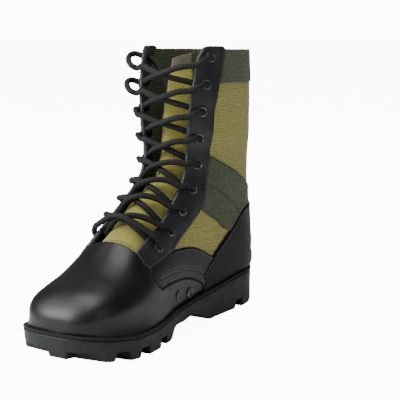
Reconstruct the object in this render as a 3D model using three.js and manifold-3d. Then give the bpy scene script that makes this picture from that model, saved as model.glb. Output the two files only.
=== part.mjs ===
// A right jungle boot in millimetres: moulded rubber sole, leather vamp and counter, canvas shaft.
// The toe points to -Y, the medial (inner) side to +X, and Z is up.
import * as THREE from "three";
import { mergeVertices } from "three/addons/utils/BufferGeometryUtils.js";
import Module from "manifold-3d";

const wasm = await Module();
wasm.setup();

// Main sizes of the last and the shaft
const LAST_LENGTH = 280; // back of the heel to the tip of the toe, along the feather edge
const BALL_WIDTH = 100; // across the feather edge at the ball of the foot
const INSTEP_RISE = 112; // from the sole's top up to the bend of the instep
const SHAFT_TOP = 260; // floor to the top of the facings
const LEG_WIDTH = 86; // across the shaft at its widest
const TOE_ROUND_MEDIAL = 54; // length of the toe's rounding on the inner side
const TOE_ROUND_LATERAL = 28; // the same on the outer side, which is squarer
const HEEL_ROUND = 36; // length of the heel's rounding
const TOE_SWING = 4; // how far the toe's tip lies to the inner side

// Sole
const FOREFOOT_HEIGHT = 21.5; // sole and welt together at the ball
const HEEL_HEIGHT = 37.5; // the same at the back of the heel
const TOE_SPRING = 5; // lift of the tread at the tip of the toe
const WAIST_LIFT = 11; // lift of the sole between heel and forefoot
const LUG_DEPTH = 8;
const LUG_GAP = 12.5; // width of the gap between two lugs
const SOLE_LEDGE = 5; // how far the sole stands out from the feather edge
const SOLE_TAPER = 1; // how much narrower the tread is on each side
const WELT_HEIGHT = 3;
const INSOLE_THICKNESS = 2.6;

// Walls and layers
const WALL = 1.8; // canvas and lining
const VAMP_STEP = 1.1; // how far the leather vamp stands out from the canvas
const OVERLAY = 1.2; // leather foxing and counter
const WEBBING = 0.9;
const FACING = 1.6; // leather eyestay
const GAP = 0.3; // clearance between neighbouring pieces
const COLLAR_BAND = 31; // height of the webbing round the collar
const FACING_RISE = 3; // how far the facings stand above the collar

// Tongue, lacing and fittings
const TONGUE_THICKNESS = 2.4;
const TONGUE_LEAN = 15; // how far the tongue's top leans back into the shaft
const EYELETS = 9; // on each facing
const EYELET_PITCH = 23.3;
const EYELET_INSET = 12.5; // from the front edge of the facing to the eyelet
const EYELET_TOP = 10; // from the top of the facing to the first eyelet
const EYELET_HOLE = 2.7; // radius
const EYELET_FLANGE = 5.4; // radius
const EYELET_RIM = 0.9; // thickness of the flange
const LACE_RADIUS = 2.4;
const VENT_RADIUS = 5.2;
const VENT_BARREL = 3.6; // radius
const FLAT_SEAT = 1; // clearance under a flat flange on a rounded face

// Fineness of the curved faces
const SIDE_STEPS = 9; // from the ridge of the foot down to the feather edge
const ROWS = [
  0, 0.4, 1, 1.8, 2.7, 3.8, 5, 6.2, 7.3, 8.2, 9.1, 10, 10.8, 11.4, 11.8, 12, 13, 14.2, 15.6, 17, 18.7,
];

const MEDIAL = 1;
const LATERAL = -1;
const SIDES = { medial: MEDIAL, lateral: LATERAL };
const FAR = 400; // further than any face of the boot

// Sections of the last from the tip of the toe over the instep to the collar.
// Each joins a point on the front ridge with one on the feather edge or, above the heel, on the back.
// front, back: from the back of the heel, as shares of LAST_LENGTH
// rise: height of the front point over the sole's top, as a share of INSTEP_RISE
// lift: height of a shaft section's front point, from the instep (0) to the top of the shaft (1)
// hind: height of its back point, from the sole (0) to the top of the shaft (1)
// ridge: half width of the flat on the ridge in mm
// medial, lateral: half widths, as shares of half BALL_WIDTH or half LEG_WIDTH
// middle: where the section is widest, as a share from front to back
// full: how square the front of the section is; tuck: the same for its lower or back half
const FOOT_COLUMNS = ["front", "back", "rise", "ridge", "medial", "lateral", "middle", "full", "tuck"];
const FOOT = [
  [1, 1, 0, 3, 0.94, 1, 0.6, 2.2, 1],
  [0.994, 0.994, 0.117, 3, 0.94, 1, 0.6, 2.2, 1],
  [0.971, 0.971, 0.214, 3, 0.92, 0.98, 0.6, 2.2, 1],
  [0.9375, 0.9375, 0.3, 3, 0.9, 0.95, 0.6, 2.2, 1],
  [0.88, 0.875, 0.373, 3, 0.91, 0.96, 0.6, 2.2, 1],
  [0.825, 0.8, 0.433, 3, 0.92, 0.97, 0.62, 2.15, 1],
  [0.771, 0.718, 0.508, 3, 0.9, 0.98, 0.64, 2.1, 1],
  [0.718, 0.629, 0.605, 3, 0.83, 0.94, 0.66, 2.1, 1],
  [0.655, 0.525, 0.72, 3, 0.74, 0.87, 0.66, 2.1, 1],
  [0.586, 0.407, 0.843, 2.4, 0.68, 0.795, 0.62, 2.15, 1],
  [0.514, 0.261, 0.918, 1.6, 0.71, 0.76, 0.52, 2.3, 1.1],
  [0.454, 0.111, 1, 1, 0.755, 0.765, 0.46, 2.4, 1.4],
].map((row) => Object.fromEntries(FOOT_COLUMNS.map((column, i) => [column, row[i]])));
const SHAFT = [
  { front: 0.432, back: 0, lift: 0.125, hind: 0, ridge: 0.8, width: 0.912, middle: 0.45, full: 2.5 },
  { front: 0.4286, back: -0.005, lift: 0.24, hind: 0.115, ridge: 0.8, width: 0.916, middle: 0.45, full: 2.6 },
  { front: 0.432, back: 0, lift: 0.357, hind: 0.249, ridge: 0.8, width: 0.912, middle: 0.46, full: 2.6 },
  { front: 0.434, back: 0.011, lift: 0.5, hind: 0.416, ridge: 0.8, width: 0.953, middle: 0.48, full: 2.6 },
  { front: 0.43, back: 0.007, lift: 0.66, hind: 0.604, ridge: 0.8, width: 1, middle: 0.5, full: 2.6 },
  { front: 0.421, back: -0.001, lift: 0.83, hind: 0.789, ridge: 0.8, width: 0.99, middle: 0.5, full: 2.6 },
  { front: 0.4125, back: -0.006, lift: 1, hind: 0.973, ridge: 0.8, width: 0.935, middle: 0.5, full: 2.6 },
  { front: 0.404, back: -0.011, lift: 1.17, hind: 1.11, ridge: 0.8, width: 0.9, middle: 0.5, full: 2.6 },
];
const BACK_ROUND = 2.2; // how square the back of the shaft is
const HEEL_STATION = FOOT.length; // the first section that stands on the back of the heel
const TOP_STATION = FOOT.length + SHAFT.length - 2; // the section at the top of the facings

// Half widths of the feather edge, as shares of half BALL_WIDTH, along LAST_LENGTH
const FEATHER = [
  { along: -0.018, medial: 0.54, lateral: 0.62 },
  { along: 0.125, medial: 0.57, lateral: 0.64 },
  { along: 0.268, medial: 0.586, lateral: 0.67 },
  { along: 0.411, medial: 0.61, lateral: 0.74 },
  { along: 0.554, medial: 0.71, lateral: 0.86 },
  { along: 0.679, medial: 0.89, lateral: 0.97 },
  { along: 0.786, medial: 0.976, lateral: 1.028 },
  { along: 0.875, medial: 0.956, lateral: 1.024 },
  { along: 1.004, medial: 0.9, lateral: 1 },
];
// Height of the sole's top: seat is the share of the heel's extra height, spring of the toe's lift,
// waist of the arch's lift on the underside, and swing of the toe's sideways shift.
const SOLE_LINE = [
  { along: -0.03, seat: 1, spring: 0, swing: 0 },
  { along: 0.125, seat: 0.863, spring: 0, swing: 0 },
  { along: 0.268, seat: 0.594, spring: 0, swing: 0 },
  { along: 0.411, seat: 0.344, spring: 0, swing: 0 },
  { along: 0.554, seat: 0.156, spring: 0, swing: 0 },
  { along: 0.696, seat: 0.02, spring: 0, swing: 0.18 },
  { along: 0.835, seat: 0, spring: 0, swing: 0.36 },
  { along: 0.918, seat: 0, spring: 0.36, swing: 0.66 },
  { along: 1.004, seat: 0, spring: 1, swing: 1 },
  { along: 1.04, seat: 0, spring: 1.3, swing: 1.1 },
];
// Half width of the throat, as a share of half LEG_WIDTH, by height (see place)
const THROAT = [
  { up: 0.5, half: 0.6 },
  { up: 0.62, half: 0.585 },
  { up: 0.85, half: 0.565 },
  { up: 1.05, half: 0.525 },
  { up: 1.3, half: 0.565 },
  { up: 1.63, half: 0.66 },
  { up: 2, half: 0.725 },
  { up: 2.5, half: 0.76 },
];

// Value of a smooth curve through a table's rows: a cubic between rows, with the slope at each row
// taken from its two neighbours.
function through(rows, key, at, column) {
  const x = Math.min(Math.max(at, rows[0][key]), rows[rows.length - 1][key]);
  let i = 0;
  while (i < rows.length - 2 && rows[i + 1][key] <= x) i++;
  const slope = (k) => {
    const a = rows[Math.max(k - 1, 0)];
    const b = rows[Math.min(k + 1, rows.length - 1)];
    return (b[column] - a[column]) / (b[key] - a[key]);
  };
  const low = rows[i];
  const high = rows[i + 1];
  const span = high[key] - low[key];
  const t = (x - low[key]) / span;
  return (
    low[column] * (2 * t ** 3 - 3 * t ** 2 + 1) +
    slope(i) * span * (t ** 3 - 2 * t ** 2 + t) +
    high[column] * (3 * t ** 2 - 2 * t ** 3) +
    slope(i + 1) * span * (t ** 3 - t ** 2)
  );
}

const soleLine = (s, column) => through(SOLE_LINE, "along", s / LAST_LENGTH, column);
const springAt = (s) => TOE_SPRING * soleLine(s, "spring");
const axisAt = (s) => TOE_SWING * soleLine(s, "swing");

function soleTop(s) {
  return FOREFOOT_HEIGHT + (HEEL_HEIGHT - FOREFOOT_HEIGHT) * soleLine(s, "seat") + springAt(s);
}

const INSTEP_TOP = soleTop(FOOT[11].back * LAST_LENGTH) + INSTEP_RISE;

// A point of the side view: along is a share of LAST_LENGTH from the heel, up is 0 at the floor,
// 1 at the bend of the instep and 2 at the top of the facings.
function place(along, up) {
  const foot = Math.min(up, 1) * INSTEP_TOP;
  const leg = Math.max(up - 1, 0) * (SHAFT_TOP - INSTEP_TOP);
  return [along * LAST_LENGTH, foot + leg];
}

function upOf(z) {
  return z < INSTEP_TOP ? z / INSTEP_TOP : 1 + (z - INSTEP_TOP) / (SHAFT_TOP - INSTEP_TOP);
}

const throatHalf = (z) => (through(THROAT, "up", upOf(z), "half") * LEG_WIDTH) / 2;

// A quarter of a squared circle: 0 at the end of the last, 1 where its sides are at full width
const END_SQUARE = 2.3;
function endRound(distance, length) {
  const b = Math.min(Math.max(distance / length, 0), 1);
  return (1 - (1 - b) ** END_SQUARE) ** (1 / END_SQUARE);
}

function toeShare(s, side, grow = 0) {
  const round = side > 0 ? TOE_ROUND_MEDIAL : TOE_ROUND_LATERAL;
  return endRound(LAST_LENGTH + grow - s, round + grow);
}

// Half width of the feather edge, or of an outline that lies grow outside it
function outlineHalf(s, side, grow = 0) {
  const share = through(FEATHER, "along", s / LAST_LENGTH, side > 0 ? "medial" : "lateral");
  const width = (share * BALL_WIDTH) / 2 + grow;
  return width * toeShare(s, side, grow) * endRound(s + grow, HEEL_ROUND + grow);
}

// All sections in millimetres, as one table
const STATIONS = [
  ...FOOT.map((row) => {
    const back = row.back * LAST_LENGTH;
    return {
      frontS: row.front * LAST_LENGTH,
      frontZ: soleTop(back) + row.rise * INSTEP_RISE,
      backS: back,
      backZ: soleTop(back),
      ridge: row.ridge,
      medial: (row.medial * BALL_WIDTH) / 2,
      lateral: (row.lateral * BALL_WIDTH) / 2,
      middle: row.middle,
      full: row.full,
      tuck: row.tuck,
    };
  }),
  ...SHAFT.map((row) => ({
    frontS: row.front * LAST_LENGTH,
    frontZ: INSTEP_TOP + row.lift * (SHAFT_TOP - INSTEP_TOP),
    backS: row.back * LAST_LENGTH,
    backZ: HEEL_HEIGHT + row.hind * (SHAFT_TOP - HEEL_HEIGHT),
    ridge: row.ridge,
    medial: (row.width * LEG_WIDTH) / 2,
    lateral: (row.width * LEG_WIDTH) / 2,
    middle: row.middle,
    full: row.full,
    tuck: BACK_ROUND,
  })),
].map((row, station) => ({ station, ...row }));

// The section at a station: a half superellipse from the ridge to its widest point,
// then another to the feather edge or the back. turn runs from 0 at the ridge to 1.
function sectionPoint(station, turn, side) {
  const of = (column) => through(STATIONS, "station", station, column);
  const onFoot = station < HEEL_STATION;
  const backS = of("backS");
  const backZ = onFoot ? soleTop(backS) : of("backZ");
  const toe = toeShare(backS, side);
  const widest = of(side > 0 ? "medial" : "lateral") * toe;
  const edge = onFoot ? outlineHalf(backS, side) : 0;
  const ridge = of("ridge") * toe;
  const middle = of("middle");
  const front = (Math.min(turn * 2, 1) * Math.PI) / 2;
  const rear = (Math.max(turn * 2 - 1, 0) * Math.PI) / 2;
  let across;
  let down;
  if (turn <= 0.5) {
    across = ridge + (widest - ridge) * Math.sin(front) ** (2 / of("full"));
    down = middle * (1 - Math.max(Math.cos(front), 0) ** (2 / of("full")));
  } else {
    across = edge + (widest - edge) * Math.max(Math.cos(rear), 0) ** (2 / of("tuck"));
    down = middle + (1 - middle) * Math.sin(rear) ** (2 / BACK_ROUND);
  }
  const axis = onFoot ? axisAt(backS) : 0;
  const s = of("frontS") + (backS - of("frontS")) * down;
  const z = of("frontZ") + (backZ - of("frontZ")) * down;
  return new THREE.Vector3(side * across + axis, -s, z);
}

const NUDGE = 0.004; // step for slopes

// Direction out of the last at a point of its surface
function outward(station, turn, side) {
  if (station < NUDGE) return new THREE.Vector3(0, -1, 0);
  const atBack = station >= HEEL_STATION && turn > 1 - NUDGE;
  const low = Math.max(station - NUDGE, atBack ? HEEL_STATION : 0);
  const along = sectionPoint(station + NUDGE, turn, side).sub(sectionPoint(low, turn, side));
  if (atBack) return new THREE.Vector3(0, along.z, -along.y).normalize();
  const before = Math.max(turn - NUDGE, 0);
  const after = Math.min(turn + NUDGE, 1);
  const round = sectionPoint(station, after, side).sub(sectionPoint(station, before, side));
  const normal = round.cross(along).multiplyScalar(side);
  if (turn < NUDGE) normal.x = 0;
  if (turn > 1 - NUDGE) normal.z = 0;
  return normal.normalize();
}

function surfacePoint(station, turn, side, grow) {
  return sectionPoint(station, turn, side).addScaledVector(outward(station, turn, side), grow);
}

// A point of the section's front at a given x, as if the throat were closed, raised by a height
function frontPoint(station, x, height) {
  const of = (column) => through(STATIONS, "station", station, column);
  const widest = Math.min(of("medial"), of("lateral"));
  const full = of("full");
  const down = of("middle") * (1 - (1 - (Math.abs(x) / widest) ** full) ** (1 / full));
  const y = -of("frontS") + (of("frontS") - of("backS")) * down;
  const z = of("frontZ") + (of("backZ") - of("frontZ")) * down;
  return new THREE.Vector3(x, y, z).addScaledVector(outward(station, 0, MEDIAL), height);
}

// A closed three.js geometry as a solid that can be cut and joined
const MERGE = 1e-3;
function solid(geometry) {
  const bare = geometry.clone();
  bare.deleteAttribute("normal");
  bare.deleteAttribute("uv");
  const merged = mergeVertices(bare, MERGE);
  const index = [];
  for (let i = 0; i < merged.index.count; i += 3) {
    const [a, b, c] = merged.index.array.slice(i, i + 3);
    if (a !== b && b !== c && c !== a) index.push(a, b, c);
  }
  const vertProperties = new Float32Array(merged.attributes.position.array);
  const mesh = new wasm.Mesh({ numProp: 3, vertProperties, triVerts: new Uint32Array(index) });
  return new wasm.Manifold(mesh);
}

function triangles(faces) {
  const corners = faces.flatMap(([a, b, c, d]) => (d ? [a, b, c, a, c, d] : [a, b, c]));
  return new THREE.BufferGeometry().setFromPoints(corners);
}

// The last as a solid that lies grow outside the canvas. Below the feather edge its sides go
// straight down, so that a sole can cut it off.
const SKIRT_Z = -10;
const lasts = new Map();
function lastBody(grow) {
  if (lasts.has(grow)) return lasts.get(grow);
  const turns = Array.from({ length: SIDE_STEPS + 1 }, (_, i) => i / SIDE_STEPS);
  const rows = ROWS.map((station) => [
    ...turns.toReversed().map((turn) => surfacePoint(station, turn, LATERAL, grow)),
    ...turns.map((turn) => surfacePoint(station, turn, MEDIAL, grow)),
  ]);
  const end = rows[0].length - 1;
  const foot = (p) => new THREE.Vector3(p.x, p.y, SKIRT_Z);
  const faces = [];
  for (let i = 0; i < rows.length - 1; i++) {
    const a = rows[i];
    const b = rows[i + 1];
    for (let j = 0; j < end; j++) faces.push([a[j], a[j + 1], b[j + 1], b[j]]);
    if (ROWS[i] >= HEEL_STATION) continue;
    faces.push([b[end], a[end], foot(a[end]), foot(b[end])]);
    faces.push([a[0], b[0], foot(b[0]), foot(a[0])]);
    faces.push([foot(b[end]), foot(a[end]), foot(a[0]), foot(b[0])]);
  }
  const top = rows[rows.length - 1];
  for (let j = 0; j < SIDE_STEPS; j++) {
    faces.push([top[j], top[j + 1], top[end - j - 1], top[end - j]]);
  }
  const body = solid(triangles(faces));
  lasts.set(grow, body);
  return body;
}

// A layer of the upper between two distances from the canvas's outer face
const layer = (outer, inner) => lastBody(outer).subtract(lastBody(inner));

// Prisms: a side view [s, z] carried across, a front view [x, z] carried along,
// and a plan [x, s] carried up
function prism(points, depth, matrix) {
  const shape = new THREE.Shape(points.map(([a, b]) => new THREE.Vector2(a, b)));
  const geometry = new THREE.ExtrudeGeometry(shape, { depth, bevelEnabled: false, steps: 1 });
  return solid(geometry.applyMatrix4(matrix));
}

const X = new THREE.Vector3(1, 0, 0);
const Y = new THREE.Vector3(0, 1, 0);
const Z = new THREE.Vector3(0, 0, 1);

function sidePrism(points, fromX = -FAR, toX = FAR) {
  const matrix = new THREE.Matrix4().makeBasis(Y, Z, X).setPosition(fromX, 0, 0);
  return prism(points.map(([s, z]) => [-s, z]), toX - fromX, matrix);
}

function frontPrism(points, fromS, toS) {
  const away = Y.clone().negate();
  const matrix = new THREE.Matrix4().makeBasis(X, Z, away).setPosition(0, -fromS, 0);
  return prism(points, toS - fromS, matrix);
}

// Points of a smooth line through a few points
function smooth(points, count) {
  const curve = new THREE.SplineCurve(points.map(([a, b]) => new THREE.Vector2(a, b)));
  return curve.getPoints(count).map((p) => [p.x, p.y]);
}

// An outline moved outwards by a distance, corner by corner
function grown(points, distance) {
  const area = points.reduce((sum, [x, y], i) => {
    const [u, v] = points[(i + 1) % points.length];
    return sum + x * v - u * y;
  }, 0);
  const way = Math.sign(area) * distance;
  return points.map(([x, y], i) => {
    const [px, py] = points[(i + points.length - 1) % points.length];
    const [nx, ny] = points[(i + 1) % points.length];
    const before = new THREE.Vector2(y - py, px - x).normalize();
    const after = new THREE.Vector2(ny - y, x - nx).normalize();
    const mean = before.add(after);
    const reach = Math.min(2 / Math.max(mean.lengthSq(), 0.5), 2);
    return [x + mean.x * reach * way, y + mean.y * reach * way];
  });
}

// Everything under a line that follows the sole's top
function underSole(rise) {
  const from = -40;
  const to = LAST_LENGTH + 40;
  const steps = 17;
  const line = Array.from({ length: steps + 1 }, (_, i) => {
    const s = from + ((to - from) * i) / steps;
    return [s, soleTop(s) + rise];
  });
  return sidePrism([[from, -FAR], ...line, [to, -FAR]]);
}

// Outlines of the layers in the side view
const facingBack = smooth(
  [
    place(0.545, 0.522),
    place(0.475, 0.617),
    place(0.394, 0.733),
    place(0.361, 0.877),
    place(0.339, 1.095),
    place(0.332, 1.23),
    place(0.323, 1.468),
    place(0.293, 1.77),
    place(0.264, 1.975),
    place(0.255, 2.1),
  ],
  14,
);
const FACING_OUTLINE = [
  place(0.712, 0.9), place(0.709, 0.49), place(0.68, 0.465),
  ...facingBack,
  place(0.9, 2.1),
];
const counterFront = smooth(
  [
    place(0.366, 0),
    place(0.366, 0.25),
    place(0.376, 0.305),
    place(0.33, 0.41),
    place(0.236, 0.554),
    place(0.175, 0.657),
    place(0.11, 0.69),
    place(0, 0.7),
    place(-0.1, 0.7),
  ],
  18,
);
const COUNTER_OUTLINE = [...counterFront, place(-0.1, 0)];
const wingTop = smooth(
  [
    place(0.366, 0.2),
    place(0.372, 0.235),
    place(0.394, 0.27),
    place(0.453, 0.316),
    place(0.514, 0.34),
    place(0.65, 0.373),
    place(0.688, 0.388),
  ],
  10,
);
const VAMP_OUTLINE = [
  place(0.366, 0),
  ...wingTop,
  place(0.7, 0.43), place(0.715, 0.5), place(0.712, 0.8), place(1.2, 0.8), place(1.2, 0),
];
const foxingTop = smooth([place(0.545, 0.527), place(0.463, 0.52), place(0.4, 0.487), place(0.31, 0.4)], 8);
const FOXING_OUTLINE = [place(0.7, 0.3), place(0.705, 0.52), ...foxingTop, place(0.31, 0.2)];
const ankleTop = smooth([
  place(0.4, 1.17), place(0.252, 0.99), place(0.194, 0.94),
  place(0.146, 0.888), place(0, 0.745), place(-0.1, 0.66),
], 9);
const ankleFoot = smooth([
  place(-0.1, 0.35), place(0.236, 0.554), place(0.307, 0.632), place(0.39, 0.733), place(0.44, 0.8),
], 8);
const ANKLE_OUTLINE = [...ankleTop, ...ankleFoot];

// Top edge of the shaft: the facings stand FACING_RISE above the collar, with rounded corners
function crownLine() {
  const line = (along) => {
    const front = STATIONS[TOP_STATION];
    const share = (along * LAST_LENGTH - front.backS) / (front.frontS - front.backS);
    return front.backZ + (front.frontZ - front.backZ) * share;
  };
  const at = (along, drop) => [along * LAST_LENGTH, line(along) - drop];
  return [
    at(-0.1, FACING_RISE),
    at(0.261, FACING_RISE),
    at(0.263, 1.2),
    at(0.27, 0),
    at(0.335, 0),
    at(0.352, 1.6),
    at(0.363, 5.4),
    at(0.372, 10),
    at(0.6, 12),
  ];
}
const CROWN_OUTLINE = [...crownLine(), place(0.6, 3), place(-0.1, 3)];
const COLLAR_OUTLINE = [
  ...crownLine().slice(0, 2).map(([s, z]) => [s, z - COLLAR_BAND]),
  place(0.4, 1.72),
  place(0.4, 2.4),
  place(-0.1, 2.4),
];

// The throat: open between the facings, closed below by the vamp's curved edge
const THROAT_STEPS = 12;
const THROAT_FOOT = [
  [0.98, 0.565],
  [0.86, 0.582],
  [0.5, 0.603],
  [0, 0.612],
];
function throatOutline() {
  const half = [];
  for (let i = 0; i <= THROAT_STEPS; i++) {
    const up = 2.3 - (i / THROAT_STEPS) * (2.3 - 0.6);
    const z = place(0, up)[1];
    half.push([throatHalf(z), z]);
  }
  for (const [share, up] of THROAT_FOOT) {
    const z = place(0, up)[1];
    half.push([share * throatHalf(z), z]);
  }
  const mirrored = half.slice(0, -1).toReversed().map(([x, z]) => [-x, z]);
  return [...half, ...mirrored];
}
const throatCut = frontPrism(throatOutline(), LAST_LENGTH * 0.2, FAR);
const crownCut = sidePrism(CROWN_OUTLINE);

// Eyelet places: equal steps down the front edge of a facing, then back along the section
function facingEdge(station, side) {
  let low = 0;
  let high = 0.5;
  for (let i = 0; i < 24; i++) {
    const turn = (low + high) / 2;
    const p = sectionPoint(station, turn, side);
    if (Math.abs(p.x) < throatHalf(p.z)) low = turn;
    else high = turn;
  }
  return low;
}

const EDGE_STEP = 0.05; // of a station
const TURN_STEP = 0.002;

// Walks down a facing's edge by a distance from its top, and gives the station reached
function stationDown(side, distance) {
  let station = TOP_STATION;
  let walked = 0;
  let last = sectionPoint(station, facingEdge(station, side), side);
  while (walked < distance) {
    station -= EDGE_STEP;
    const next = sectionPoint(station, facingEdge(station, side), side);
    walked += next.distanceTo(last);
    last = next;
  }
  return station;
}

// Walks back from the facing's edge along the section, and gives the turn reached
function turnBehind(station, side, distance) {
  let turn = facingEdge(station, side);
  let walked = 0;
  let last = sectionPoint(station, turn, side);
  while (walked < distance) {
    turn += TURN_STEP;
    const next = sectionPoint(station, turn, side);
    walked += next.distanceTo(last);
    last = next;
  }
  return turn;
}

const eyelets = Object.entries(SIDES).flatMap(([name, side]) =>
  Array.from({ length: EYELETS }, (_, i) => {
    const station = stationDown(side, EYELET_TOP + (EYELETS - 1 - i) * EYELET_PITCH);
    const turn = turnBehind(station, side, EYELET_INSET);
    return { name: `eyelet_${name}_${i + 1}`, side, level: i, station, turn };
  }),
);

// Vents low on the medial side, ahead of the heel
const VENTS = [
  { name: "vent_front", along: 0.538, height: 11.5 },
  { name: "vent_rear", along: 0.459, height: 7.5 },
];

// A point of the medial wall found from its side view, by bisecting turn at each station
function wallSpot(s, z) {
  let best = { error: Infinity };
  for (let station = 6; station < HEEL_STATION; station += 0.05) {
    for (let turn = 0.5; turn < 1; turn += 0.01) {
      const p = sectionPoint(station, turn, MEDIAL);
      const error = Math.hypot(-p.y - s, p.z - z);
      if (error < best.error) best = { error, station, turn };
    }
  }
  return best;
}
const vents = VENTS.map(({ name, along, height }) => {
  const s = along * LAST_LENGTH;
  return { name, side: MEDIAL, ...wallSpot(s, soleTop(s) + height) };
});

// A turned piece with its axis along the outward direction, its zero height on the canvas's face
function turned(profile, sides, spot) {
  const points = profile.map(([r, h]) => new THREE.Vector2(r, h));
  const out = outward(spot.station, spot.turn, spot.side);
  const turn = new THREE.Quaternion().setFromUnitVectors(Y, out);
  const geometry = new THREE.LatheGeometry(points, sides).applyQuaternion(turn);
  const p = sectionPoint(spot.station, spot.turn, spot.side);
  return solid(geometry.translate(p.x, p.y, p.z));
}

const EYELET_SIDES = 8;
const VENT_SIDES = 12;
const BORE_DEPTH = 8;
const bore = (radius, sides, spot) =>
  turned([[0, -BORE_DEPTH], [radius, -BORE_DEPTH], [radius, BORE_DEPTH], [0, BORE_DEPTH]], sides, spot);

function eyeletSolid(spot) {
  const seat = GAP + FACING + FLAT_SEAT;
  const inside = -WALL / 2;
  return turned(
    [
      [EYELET_HOLE, inside],
      [EYELET_HOLE + 0.7, inside],
      [EYELET_HOLE + 0.7, seat],
      [EYELET_FLANGE, seat],
      [EYELET_HOLE, seat + EYELET_RIM],
      [EYELET_HOLE, inside],
    ],
    EYELET_SIDES,
    spot,
  );
}
const EYELET_BORE = EYELET_HOLE + 0.7 + GAP;

function ventSolid(spot) {
  const seat = VAMP_STEP + FLAT_SEAT;
  return turned(
    [
      [0, -WALL / 2],
      [VENT_BARREL, -WALL / 2],
      [VENT_BARREL, seat],
      [VENT_RADIUS, seat],
      [VENT_RADIUS - 0.6, seat + 1],
      [VENT_BARREL - 0.4, seat + 0.8],
      [VENT_BARREL - 0.8, seat],
      [0, seat],
    ],
    VENT_SIDES,
    spot,
  );
}

const eyeletBores = Object.fromEntries(
  eyelets.map((spot) => [spot.name, bore(EYELET_BORE, EYELET_SIDES, spot)]),
);
const ventBores = vents.map((spot) => bore(VENT_BARREL + GAP, VENT_SIDES, spot));
const cutAll = (body, cutters) => cutters.reduce((left, cutter) => left.subtract(cutter), body);

// The pieces, each as one solid with its colour and finish
const LEATHER = { color: 0x17181a, roughness: 0.42, metalness: 0 };
const FACING_LEATHER = { color: 0x23262a, roughness: 0.5, metalness: 0 };
const CANVAS = { color: 0x8a8450, roughness: 0.95, metalness: 0 };
const DARK_WEBBING = { color: 0x4a4f33, roughness: 0.9, metalness: 0 };
const RUBBER = { color: 0x3a3e42, roughness: 0.75, metalness: 0 };
const RIBBED_RUBBER = { color: 0x1c1e20, roughness: 0.8, metalness: 0 };
const PAINTED_METAL = { color: 0x1a1b1c, roughness: 0.4, metalness: 0.7 };
const LACE_CORD = { color: 0x141517, roughness: 0.8, metalness: 0 };
const BOARD = { color: 0x5a5648, roughness: 0.95, metalness: 0 };

const boot = new THREE.Group();
function add(name, body, look) {
  const { vertProperties, triVerts } = body.getMesh();
  const geometry = new THREE.BufferGeometry();
  geometry.setAttribute("position", new THREE.BufferAttribute(vertProperties, 3));
  geometry.setIndex(new THREE.BufferAttribute(triVerts, 1));
  geometry.computeVertexNormals();
  const mesh = new THREE.Mesh(geometry, new THREE.MeshStandardMaterial(look));
  mesh.name = name;
  boot.add(mesh);
}

// Sole: the plan outline drawn in by SOLE_TAPER towards the tread, cut by the side view
const OUTLINE_STEPS = 26;
function planRing(grow, z) {
  const ring = [];
  const half = (i) => (1 - Math.cos((Math.PI * i) / OUTLINE_STEPS)) / 2;
  const from = -grow;
  const to = LAST_LENGTH + grow;
  for (let i = 0; i <= OUTLINE_STEPS; i++) {
    const s = from + (to - from) * half(i);
    ring.push(new THREE.Vector3(axisAt(s) + outlineHalf(s, MEDIAL, grow), -s, z));
  }
  for (let i = OUTLINE_STEPS - 1; i > 0; i--) {
    const s = from + (to - from) * half(i);
    ring.push(new THREE.Vector3(axisAt(s) - outlineHalf(s, LATERAL, grow), -s, z));
  }
  return ring;
}

const BLANK_TOP = 60;
function soleBlank() {
  const foot = planRing(SOLE_LEDGE - SOLE_TAPER, SKIRT_Z);
  const top = planRing(SOLE_LEDGE, BLANK_TOP);
  const faces = [];
  const n = foot.length;
  for (let i = 0; i < n; i++) {
    const j = (i + 1) % n;
    faces.push([foot[j], foot[i], top[i], top[j]]);
  }
  for (let i = 0; i < OUTLINE_STEPS; i++) {
    const a = i;
    const b = i + 1;
    const c = (n - b) % n;
    const d = (n - a) % n;
    faces.push([top[b], top[a], top[d], top[c]]);
    faces.push([foot[a], foot[b], foot[c], foot[d]]);
  }
  return solid(triangles(faces));
}

// Underside in the side view: heel, hollow breast, waist, forefoot, toe spring
const HEEL_BACK = 0.01;
const HEEL_BREAST = 0.332;
const WAIST_START = 0.43;
const WAIST_END = 0.575;
const TREAD_START = 0.615;
function undersideCut() {
  const lift = (along, z) => [along * LAST_LENGTH, z];
  const breast = smooth([lift(HEEL_BREAST, 0), lift(0.37, WAIST_LIFT * 0.3), lift(WAIST_START, WAIST_LIFT)], 6);
  const ramp = smooth([
    lift(WAIST_START, WAIST_LIFT), lift(0.51, WAIST_LIFT * 0.85), lift(WAIST_END, WAIST_LIFT * 0.8),
  ], 4);
  const toe = [];
  for (let along = 0.835; along < 1.04; along += 0.025) {
    toe.push([along * LAST_LENGTH, springAt(along * LAST_LENGTH)]);
  }
  return sidePrism([
    lift(-0.05, 1.5),
    lift(HEEL_BACK, 0),
    ...breast,
    ...ramp.slice(1),
    lift(TREAD_START, 0),
    ...toe,
    lift(1.1, TOE_SPRING * 1.6),
    lift(1.1, -50),
    lift(-0.05, -50),
  ]);
}

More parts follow.
